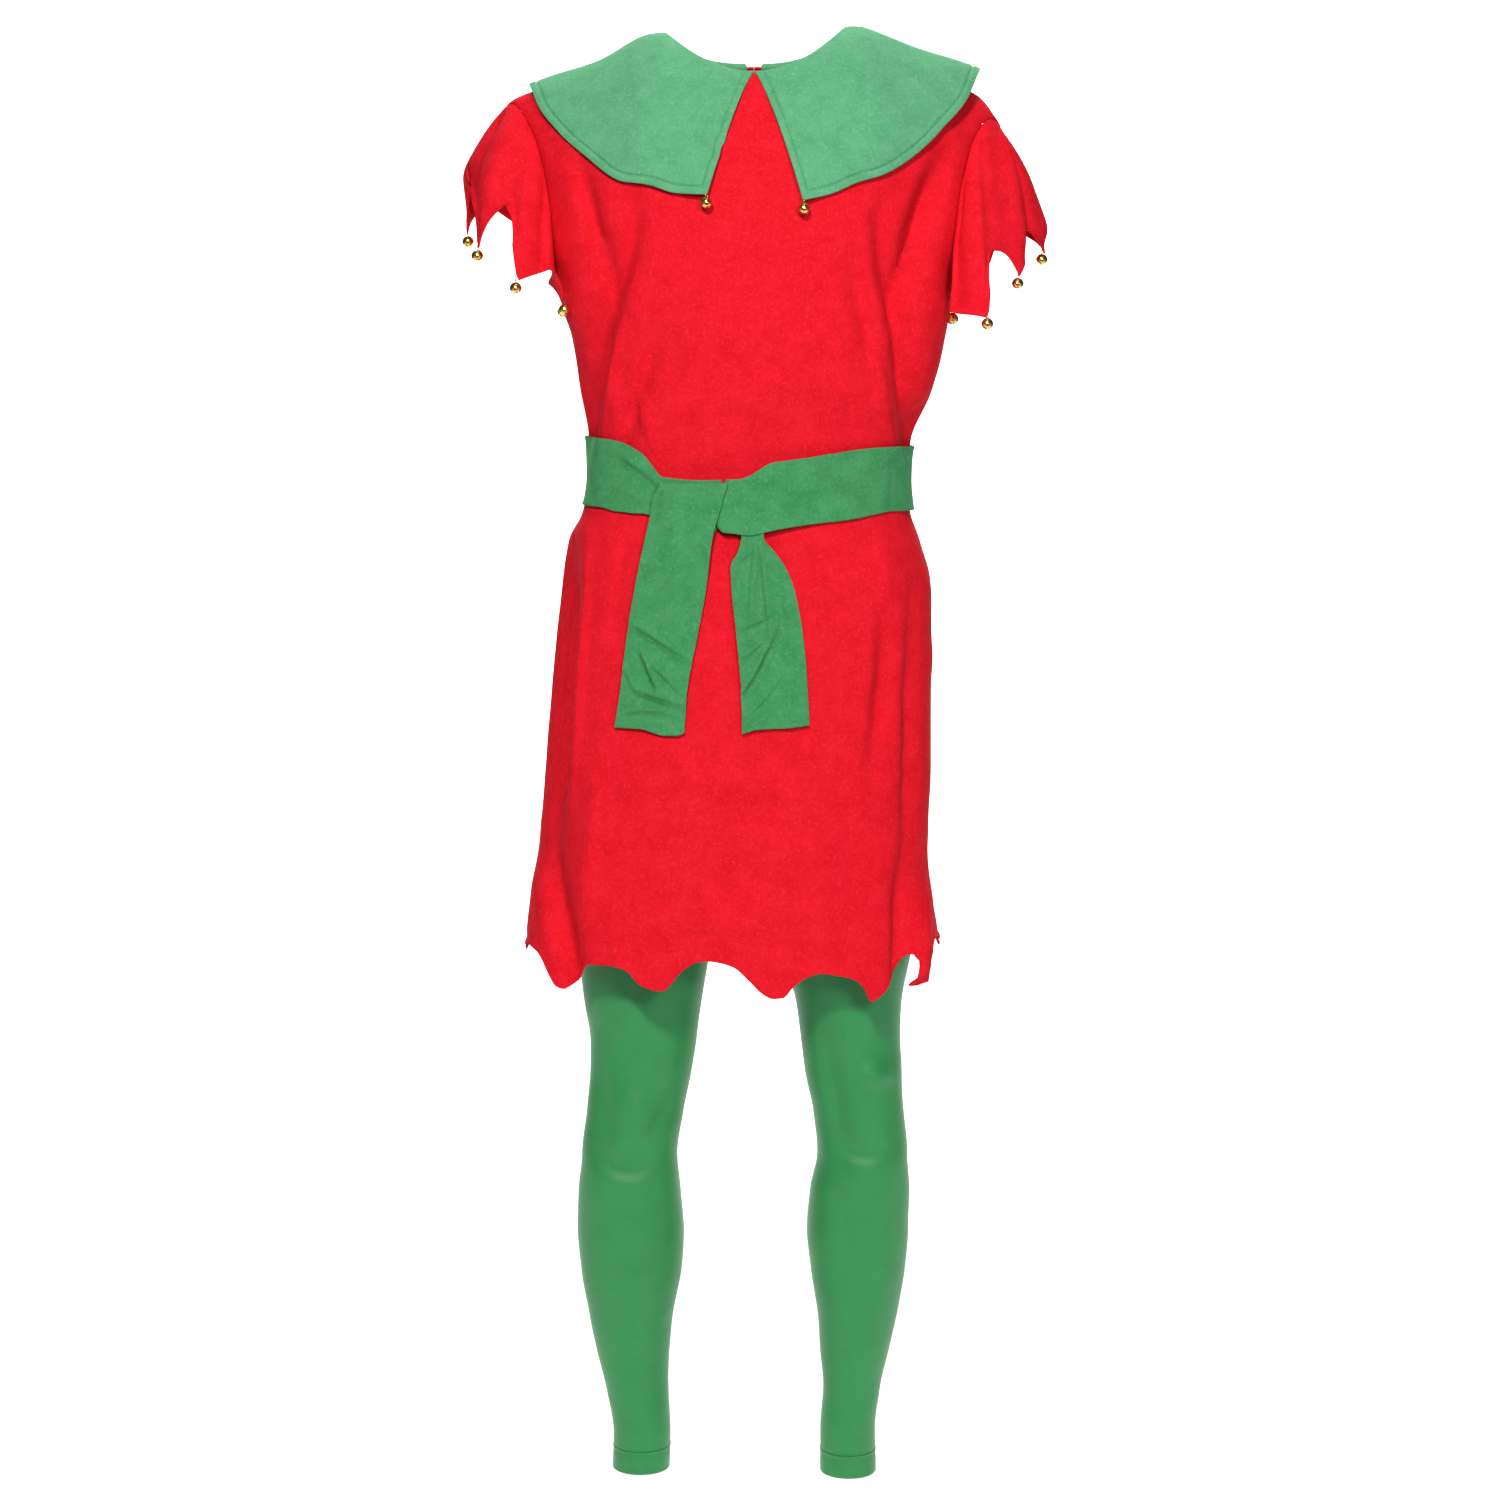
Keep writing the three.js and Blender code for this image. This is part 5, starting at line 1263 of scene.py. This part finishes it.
LEG_DEPTH = table(
    "z front back",
    (-1431, -30, 38), (-1352, -31, 44), (-1268, -42, 58), (-1185, -50, 66), (-1102, -58, 48),
    (-1019, -60, 50), (-948, -66, 58), (-820, -80, 76), (-705, -92, 98), (-600, -98, 106),
    (-520, -95, 98), (-400, -90, 88),
)
LEG_COLUMNS = 128
ANKLE = {"top": -1408, "bottom": -1431, "lower": {-1: 0, 1: 4}}
ANKLE_SEAM = (-0.5, 2)
INSEAM = (-0.6, 2.2)
HEM_WAVES = ((-0.45, 1, 19.5), (-0.35, 1, 16.5), (0.5, 1.4, 22))
HEM_STITCH = {"rises": (16.5, 19.5), "length": 2.2, "gap": 0.9, "radius": 0.22, "lift": 0.1}
WAISTBAND = {"top": -415, "bottom": -440, "gathers": 60, "depth": 0.35}
CROTCH = -700
leg_front = curve(LEG_DEPTH, "z", "front")
leg_back = curve(LEG_DEPTH, "z", "back")
LEG_CREASES = {
    -1: fold_table(
        (-152, -1092, -128, -1128, -92, -1098, 12, -7, 0.3),
        (-128, -1030, -112, -1040, -104, -1076, 14, 5, 0.0),
        (-78, -1040, -90, -1066, -116, -1082, 8, -4, 0.2),
        (-148, -1010, -142, -1060, -146, -1110, 9, -4, 0.0),
        (-112, -1160, -118, -1220, -112, -1290, 16, 3, 0.0),
        (-92, -1270, -84, -1262, -76, -1258, 2.2, 1.0, 0.3),
        (-94, -1284, -84, -1278, -76, -1272, 2.2, -0.9, 0.3),
        (-90, -1236, -82, -1230, -74, -1228, 2.4, 0.8, 0.3),
        (-128, -1392, -116, -1396, -100, -1392, 4, -0.7, 0.0),
    ),
    1: fold_table(
        (68, -960, 86, -1030, 92, -1106, 13, -6.5, 0.3),
        (108, -1004, 122, -1020, 142, -1014, 12, 5.5, 0.2),
        (80, -1078, 110, -1106, 142, -1090, 10, -5, 0.3),
        (84, -1120, 96, -1160, 100, -1210, 11, -3.5, 0.0),
        (128, -1150, 134, -1220, 124, -1300, 14, 3, 0.0),
        (92, -1330, 98, -1370, 96, -1404, 6, -1.0, 0.0),
        (70, -1240, 78, -1236, 90, -1240, 2.4, 0.7, 0.3),
    ),
}


def leg_points(hand, turn, z):
    """Points round one leg, from the inseam round the front of its far side and back."""
    sections = LEGS[hand]
    centre = curve(sections, "z", "centre")(z)
    half = curve(sections, "z", "half")(z)
    front, back = leg_front(z), leg_back(z)
    middle, depth = (front + back) / 2, (back - front) / 2
    inseam = np.arccos(np.maximum(-1, -(centre - SEAM / 2) / half))
    most = np.minimum(math.pi - SEAM / 2 / depth, inseam)
    angle = turn * most
    power = 2 / LEG_SQUARENESS
    across = np.sign(np.cos(angle)) * np.abs(np.cos(angle)) ** power
    through = np.sign(np.sin(angle)) * np.abs(np.sin(angle)) ** power
    x = np.maximum(centre + half * across, SEAM / 2)
    return np.stack([LEG_MIDDLE + hand * x, middle + depth * through, z * np.ones_like(x)], -1)


def leg_outward(hand, grid):
    """Way from the middle of the leg to each point."""
    x, y, z = grid[..., 0], grid[..., 1], grid[..., 2]
    centre = LEG_MIDDLE + hand * curve(LEGS[hand], "z", "centre")(z)
    return np.stack([x - centre, y - (leg_front(z) + leg_back(z)) / 2, np.zeros(centre.shape)], -1)


def legging(hand):
    """One leg with its half of the hip, an open sheet whose two edges meet at the inseam."""
    ankle = ANKLE["top"] - ANKLE["lower"][hand]
    top = WAISTBAND["bottom"] - SEAM
    low_levels = np.linspace(ankle, CROTCH - 20, 150)
    levels = np.concatenate([low_levels, np.linspace(CROTCH - 12, top, 50)])
    turn = np.linspace(-1, 1, LEG_COLUMNS + 1)[:, None]
    grid = leg_points(hand, turn, levels[None, :])
    outward = leg_outward(hand, grid)
    normals = grid_normals(grid, False, outward)
    for i in (0, -1):
        high = levels > CROTCH
        normals[i, high, 0] = 0
        normals[i, ~high, 1] = 0
    normals = unit(normals)
    x, z = grid[..., 0], grid[..., 2]
    height = np.where(outward[..., 1] < 0, fold_height(LEG_CREASES[hand], x, z), 0)
    fade = np.minimum(1, (1 - np.abs(turn)) / 0.12)
    height = (height + unevenness(x, z, 14 + hand) * 0.3) * fade * smooth_step(z, ankle, ankle + 30)
    height += wave(edge_distance(grid, 1, 0), *ANKLE_SEAM)
    for end in (0, -1):
        height += wave(edge_distance(grid, 0, end), *INSEAM)
    grid = grid + normals * height[..., None]
    name = handed("legging", hand)
    made = shell(name + "_cloth", grid, normals, JERSEY, False, (0.1, 0.1, 0.1, 0.1), LEG_GREEN)
    declare(made, [name])


def legging_hem(hand):
    """Turned ankle band with its two rows of stitching pressed in."""
    lower = ANKLE["lower"][hand]
    levels = np.linspace(ANKLE["bottom"], ANKLE["top"] - SEAM, 24) - lower
    turn = np.linspace(-1, 1, LEG_COLUMNS, endpoint=False)[:, None]
    grid = leg_points(hand, turn, levels[None, :])
    outward = leg_outward(hand, grid)
    normals = grid_normals(grid, True, outward)
    rise = levels[None, :] - levels[0]
    height = 0 * turn + sum(wave(rise, *shape) for shape in HEM_WAVES)
    grid = grid + normals * height[..., None]
    name = handed("legging_hem", hand)
    made = shell(name + "_cloth", grid, normals, FLEECE, True, (0, 0, 0.9, 0.1), LEG_GREEN)
    declare(made, [name])
    return grid, normals


for hand in (-1, 1):
    legging(hand)
hems = {hand: legging_hem(hand) for hand in (-1, 1)}


def waistband():
    """Gathered elastic band inside the tunic, under the sash."""
    levels = np.linspace(WAISTBAND["bottom"], WAISTBAND["top"], 14)[None, :]
    halves = []
    for side in (-1, 1):
        u = np.linspace(-1, 1, 150, endpoint=False)
        if side > 0:
            u = -u
        z = levels * np.ones((len(u), 1))
        points, out = body_ring(side, u[:, None] * np.ones_like(z), z)
        halves.append(points - out * (FLEECE + 1.2))
    grid = soften(np.concatenate(halves), True, 3)
    outward = grid * np.array([1.0, 1.0, 0.0])
    normals = grid_normals(grid, True, outward)
    around = np.arange(grid.shape[0]) * 2 * math.pi
    gathers = np.sin(around * WAISTBAND["gathers"] / grid.shape[0])[:, None]
    rise = np.sin(math.pi * np.linspace(0, 1, grid.shape[1]))[None, :]
    grid = grid + normals * (WAISTBAND["depth"] * gathers * rise)[..., None]
    rims = (0, 0, 0.6, 0.6)
    made = shell("legging_waistband_cloth", grid, normals, FLEECE, True, rims, LEG_GREEN)
    declare(made, ["legging_waistband"])


waistband()


# Stitches and bells

STITCH_PROFILE = ((-1.0, 0.15), (-0.72, 0.85), (0.0, 1.1), (0.72, 0.85), (1.0, 0.15))
STITCH_SIDES = 6
STITCH_FLATNESS = 0.8


def ring_faces(rings, around, closed):
    """Faces from each ring of points to the next and, if closed, from the last to the first."""
    faces = []
    for j in range(rings if closed else rings - 1):
        here, there = j * around, (j + 1) % rings * around
        for k in range(around):
            n = (k + 1) % around
            faces.append((here + k, here + n, there + n, there + k))
    return faces


def round_angles(count):
    return [2 * math.pi * k / count for k in range(count)]


def add_stitches(name, runs, radius, finish):
    """Short threads lying on a surface: each run is a start, an end and the surface's normal."""
    points = []
    faces = []
    last = (len(STITCH_PROFILE) - 1) * STITCH_SIDES
    one = ring_faces(len(STITCH_PROFILE), STITCH_SIDES, False)
    one.append(tuple(reversed(range(STITCH_SIDES))))
    one.append(tuple(range(last, last + STITCH_SIDES)))
    for start, end, normal in runs:
        axis = end - start
        middle = (start + end) / 2
        side = unit(np.cross(axis, normal))
        up = unit(np.cross(side, axis))
        base = len(points)
        for along, width in STITCH_PROFILE:
            for angle in round_angles(STITCH_SIDES):
                spoke = side * math.cos(angle) + up * math.sin(angle) * STITCH_FLATNESS
                points.append(middle + axis * along / 2 + spoke * width * radius)
        faces += [tuple(base + k for k in face) for face in one]
    made = mesh_object(name, np.array(points), faces, finish)
    return declare(made, [])


def stitch_line(path, normals, length, gap):
    """Stitches along a path of points, with the surface's normal at each."""
    steps = np.concatenate([[0], np.cumsum(np.linalg.norm(np.diff(path, axis=0), axis=1))])
    runs = []
    for start in np.arange(gap, steps[-1] - length, length + gap):
        ends = [np.array([np.interp(s, steps, path[:, k]) for k in range(3)])
                for s in (start, start + length)]
        normal = unit(np.array([np.interp(start, steps, normals[:, k]) for k in range(3)]))
        runs.append((ends[0], ends[1], normal))
    return runs


TOPSTITCH = {"inset": 7.0, "length": 2.5, "gap": 0.8, "radius": 0.28, "lift": 0.12, "first_row": 3}


def collar_stitches(name, grid, normals):
    """Topstitching 7 mm inside the collar's outer, front and back edges."""
    to_edge = edge_distance(grid, 1, -1)
    to_front = edge_distance(grid, 0, 0)
    to_back = edge_distance(grid, 0, -1)
    paths = []
    inset = TOPSTITCH["inset"]

    def row_points(values, line):
        order = np.argsort(values)
        return [np.interp(inset, values[order], line[order, k]) for k in range(3)]

    outer, outer_normals = [], []
    for i in range(grid.shape[0]):
        if any(np.interp(inset, to_edge[i][::-1], to_end[i][::-1]) < inset
               for to_end in (to_front, to_back)):
            continue
        outer.append(row_points(to_edge[i], grid[i]))
        outer_normals.append(row_points(to_edge[i], normals[i]))
    paths.append((np.array(outer), np.array(outer_normals)))
    for distance in (to_front, to_back):
        line, line_normals = [], []
        for j in range(TOPSTITCH["first_row"], grid.shape[1]):
            if np.interp(inset, np.sort(distance[:, j]), np.sort(to_edge[:, j])) < inset:
                continue
            line.append(row_points(distance[:, j], grid[:, j]))
            line_normals.append(row_points(distance[:, j], normals[:, j]))
        paths.append((np.array(line), np.array(line_normals)))
    runs = []
    for path, path_normals in paths:
        lifted = path + unit(path_normals) * TOPSTITCH["lift"]
        runs += stitch_line(lifted, path_normals, TOPSTITCH["length"], TOPSTITCH["gap"])
    return add_stitches(name, runs, TOPSTITCH["radius"], GREEN_THREAD)


stitches_right = collar_stitches("collar_right_stitches", collar_right_grid, collar_right_normals)
stitches_left = collar_stitches("collar_left_stitches", collar_left_grid, collar_left_normals)

for hand, (grid, normals) in hems.items():
    runs = []
    for rise in HEM_STITCH["rises"]:
        row = rise / (ANKLE["top"] - ANKLE["bottom"]) * (grid.shape[1] - 1)
        k, t = int(row), row - int(row)
        path = mix(grid[:, k], grid[:, k + 1], t) + normals[:, k] * HEM_STITCH["lift"]
        path = np.concatenate([path, path[:1]])
        way = np.concatenate([normals[:, k], normals[:1, k]])
        runs += stitch_line(path, way, HEM_STITCH["length"], HEM_STITCH["gap"])
    name = handed("legging_hem", hand) + "_stitches"
    add_stitches(name, runs, HEM_STITCH["radius"], LEG_THREAD)


# Jingle bells

BELL = {
    "radius": BELL_DIAMETER / 2, "around": 40, "down": 28, "pole": 0.02,
    "top": 2.4, "wall": 0.45, "band": 0.35, "band_angle": 5, "thread_at": 1.9,
}
SLOT = {"half": 0.75, "reach": 0.72, "end": 1.25, "top": 0.32, "points": 24}
LOOP = {"bend": 1.15, "wire": 0.32, "rise": 0.95, "around": 24, "sides": 10}
PELLET = {"size": 0.34, "level": -0.5, "rings": 10, "around": 16}
THREAD = {
    "wire": 0.22, "half": 0.9, "past": 0.9, "shift": 0.25, "above": 0.6, "around": 20, "sides": 6,
}


def bell_ball(radius):
    """Hollow ball with a raised band round its middle."""
    outer = []
    for j in range(BELL["down"] + 1):
        angle = math.radians(-90 + 180 * j / BELL["down"])
        ring = wave(math.degrees(angle), BELL["band"], BELL["band_angle"])
        outer.append(((radius + ring) * math.cos(angle), (radius + ring) * math.sin(angle)))
    profile = outer + [(r * (radius - BELL["wall"]) / radius, z * (radius - BELL["wall"]) / radius)
                       for r, z in reversed(outer)]
    points = [(max(r, BELL["pole"]) * math.cos(angle), max(r, BELL["pole"]) * math.sin(angle), z)
              for r, z in profile for angle in round_angles(BELL["around"])]
    return points, ring_faces(len(profile), BELL["around"], True)


def bare_object(name, points, faces):
    mesh = bpy.data.meshes.new(name)
    mesh.from_pydata(np.asarray(points).tolist(), [], faces)
    face_out(mesh)
    made = bpy.data.objects.new(name, mesh)
    bpy.context.scene.collection.objects.link(made)
    return made


def slot_cutter(radius, turn):
    """Long slot with round ends, standing on end, to cut one arm of the cross below."""
    outline = []
    for angle in round_angles(SLOT["points"]):
        shift = radius * SLOT["reach"] if math.cos(angle) >= 0 else -radius * SLOT["reach"]
        across = SLOT["half"] * SLOT["end"] * math.cos(angle)
        outline.append((shift + across, SLOT["half"] * math.sin(angle)))
    c, s = math.cos(turn), math.sin(turn)
    points = [(x * c - y * s, x * s + y * c, z)
              for z in (-2 * radius, -radius * SLOT["top"]) for x, y in outline]
    count = len(outline)
    faces = [tuple(range(count))[::-1], tuple(range(count, 2 * count))]
    return bare_object("slot", points, faces + ring_faces(2, count, False))


def loop_points(height):
    """Wire ring standing on top of a bell."""
    points = []
    for turn in round_angles(LOOP["around"]):
        for angle in round_angles(LOOP["sides"]):
            reach = LOOP["bend"] + LOOP["wire"] * math.cos(angle)
            points.append((reach * math.cos(turn), LOOP["wire"] * math.sin(angle),
                           height + reach * math.sin(turn)))
    return points, ring_faces(LOOP["around"], LOOP["sides"], True)


def pellet_points(radius, level):
    """Loose ball inside a bell."""
    rings, around = PELLET["rings"], PELLET["around"]
    points = []
    for j in range(1, rings):
        angle = math.pi * j / rings
        wide, high = radius * math.sin(angle), radius * math.cos(angle) + level
        points += [(wide * math.cos(t), wide * math.sin(t), high) for t in round_angles(around)]
    last = (rings - 2) * around
    faces = ring_faces(rings - 1, around, False)
    return points, [*faces, tuple(range(around)), tuple(range(last, last + around))[::-1]]


def make_bell():
    """The bell's mesh, cut once and used for each bell."""
    radius = BELL["radius"]
    ball = bare_object("bell_ball", *bell_ball(radius))
    cutters = [slot_cutter(radius, turn) for turn in (0, math.pi / 2)]
    for cutter in cutters:
        cut = ball.modifiers.new("cut", "BOOLEAN")
        cut.operation = "DIFFERENCE"
        cut.solver = "EXACT"
        cut.object = cutter
    depsgraph = bpy.context.evaluated_depsgraph_get()
    cut_mesh = bpy.data.meshes.new_from_object(ball.evaluated_get(depsgraph))
    points = [tuple(v.co) for v in cut_mesh.vertices]
    faces = [tuple(p.vertices) for p in cut_mesh.polygons]
    for extra_points, extra_faces in (
        loop_points(radius + LOOP["rise"]),
        pellet_points(radius * PELLET["size"], radius * PELLET["level"]),
    ):
        base = len(points)
        points += extra_points
        faces += [tuple(base + k for k in face) for face in extra_faces]
    for made in [ball, *cutters]:
        bpy.data.objects.remove(made)
    return np.array(points), faces


BELL_POINTS, BELL_FACES = make_bell()


def thread_loop(tip, top, finish, name):
    """Thread from the cloth's point down through the bell's wire loop."""
    centre = (tip + top) / 2
    high = np.linalg.norm(tip - top) / 2 + THREAD["past"]
    wire = THREAD["wire"]
    points = []
    for turn in round_angles(THREAD["around"]):
        for angle in round_angles(THREAD["sides"]):
            reach = 1 + wire * math.cos(angle) / high
            points.append((centre[0] + THREAD["shift"] * math.cos(turn) + wire * math.sin(angle),
                           centre[1] + (THREAD["half"] + wire * math.cos(angle)) * math.cos(turn),
                           centre[2] + high * reach * math.sin(turn)))
    faces = ring_faces(THREAD["around"], THREAD["sides"], True)
    return declare(mesh_object(name, np.array(points), faces, finish), [])


def hang_bell(name, tip, turn, thread):
    """A bell under a point of cloth, turned about its hanging line."""
    radius = BELL["radius"]
    c, s = math.cos(math.radians(turn)), math.sin(math.radians(turn))
    spin = np.array([[c, -s, 0], [s, c, 0], [0, 0, 1]])
    middle = np.array([tip[0], tip[1], tip[2] - radius - BELL["top"] - SEAM])
    made = mesh_object(name + "_gold", BELL_POINTS @ spin.T + middle, BELL_FACES, GOLD)
    declare(made, [name])
    loop_top = middle + np.array([0, 0, radius + BELL["thread_at"]])
    start = np.array([tip[0], tip[1], tip[2] + THREAD["above"]])
    thread_loop(start, loop_top, thread, name + "_thread")


for name, grid, turn in (("bell_collar_right", collar_right_grid, 20),
                         ("bell_collar_left", collar_left_grid, -35)):
    corner = grid[0, -1]
    hang_bell(name, (corner[0], corner[1] + FLEECE / 2, corner[2]), turn, GREEN_THREAD)
for hand in (-1, 1):
    for n, place in enumerate(zip(*SLEEVE_BELLS[hand].values())):
        hang_bell(f"{handed('bell_sleeve', hand)}_{n + 1}", place, 50 * n, RED_THREAD)


# Studio: pale floor and backdrop, soft lights, and the camera of the photograph

FLOOR_Z = -1500
SWEEP = {
    "side": 2300, "front": -1400, "bend": 2600, "back": 4000, "top": 4600, "rows": 12, "steps": 60,
}


def studio():
    """Floor that bends up into a wall behind."""
    turn = np.linspace(0, 1, SWEEP["steps"])[1:] * math.pi / 2
    flat = np.linspace(SWEEP["front"], SWEEP["bend"], SWEEP["rows"])
    reach = SWEEP["back"] - SWEEP["bend"]
    ys = np.concatenate([flat, SWEEP["bend"] + reach * np.sin(turn), [SWEEP["back"]]])
    zs = np.concatenate([0 * flat + FLOOR_Z, FLOOR_Z + reach * (1 - np.cos(turn)), [SWEEP["top"]]])
    points = [(x, y, z) for x in (-SWEEP["side"], SWEEP["side"]) for y, z in zip(ys, zs)]
    count = len(ys)
    faces = [(k, k + 1, count + k + 1, count + k) for k in range(count - 1)]
    mesh = bpy.data.meshes.new("studio_sweep")
    mesh.from_pydata((np.array(points) * MM).tolist(), [], faces)
    mesh.shade_smooth()
    floor = bpy.data.objects.new("studio_sweep", mesh)
    bpy.context.scene.collection.objects.link(floor)
    mesh.materials.append(plain("studio_white", (0.93, 0.93, 0.93, 1), 0.9))


def area_light(name, place, target, size, power):
    data = bpy.data.lights.new(name, "AREA")
    data.shape = "RECTANGLE"
    data.size, data.size_y = size
    data.energy = power
    made = bpy.data.objects.new(name, data)
    bpy.context.scene.collection.objects.link(made)
    made.location = place
    way = Vector(target) - Vector(place)
    made.rotation_euler = way.to_track_quat("-Z", "Y").to_euler()


studio()
area_light("key", (-0.45, -3.0, 1.5), (0, 0, -0.35), (0.35, 0.35), 92)
area_light("fill", (1.0, -3.3, 0.5), (0, 0, -0.5), (0.5, 0.6), 44)
area_light("top", (0.3, -0.8, 2.4), (0, 0, -0.5), (0.8, 0.6), 5)
area_light("backdrop", (0, 2.2, 2.2), (0, 4.0, 0.2), (3.0, 0.8), 190)
area_light("backdrop_low", (0, 1.9, 2.6), (0, 2.6, -1.5), (3.0, 0.8), 125)

world = bpy.data.worlds.new("studio_air")
bpy.context.scene.world = world
world.use_nodes = True
world.node_tree.nodes["Background"].inputs["Color"].default_value = (1, 1, 1, 1)
world.node_tree.nodes["Background"].inputs["Strength"].default_value = 0.06

CAMERA = {"distance": 3500, "rise": 400, "aim_z": -694, "photo_width": 1500}
slant = math.hypot(CAMERA["distance"], CAMERA["rise"])
camera_data = bpy.data.cameras.new("camera")
camera_data.sensor_width = 36
camera_data.lens = camera_data.sensor_width * slant / CAMERA["photo_width"]
camera_data.clip_end = 50
camera = bpy.data.objects.new("camera", camera_data)
bpy.context.scene.collection.objects.link(camera)
camera.location = (0, -CAMERA["distance"] * MM, (CAMERA["aim_z"] + CAMERA["rise"]) * MM)
camera.rotation_euler = (math.pi / 2 - math.atan2(CAMERA["rise"], CAMERA["distance"]), 0, 0)
bpy.context.scene.camera = camera
bpy.context.scene.view_settings.view_transform = "Standard"
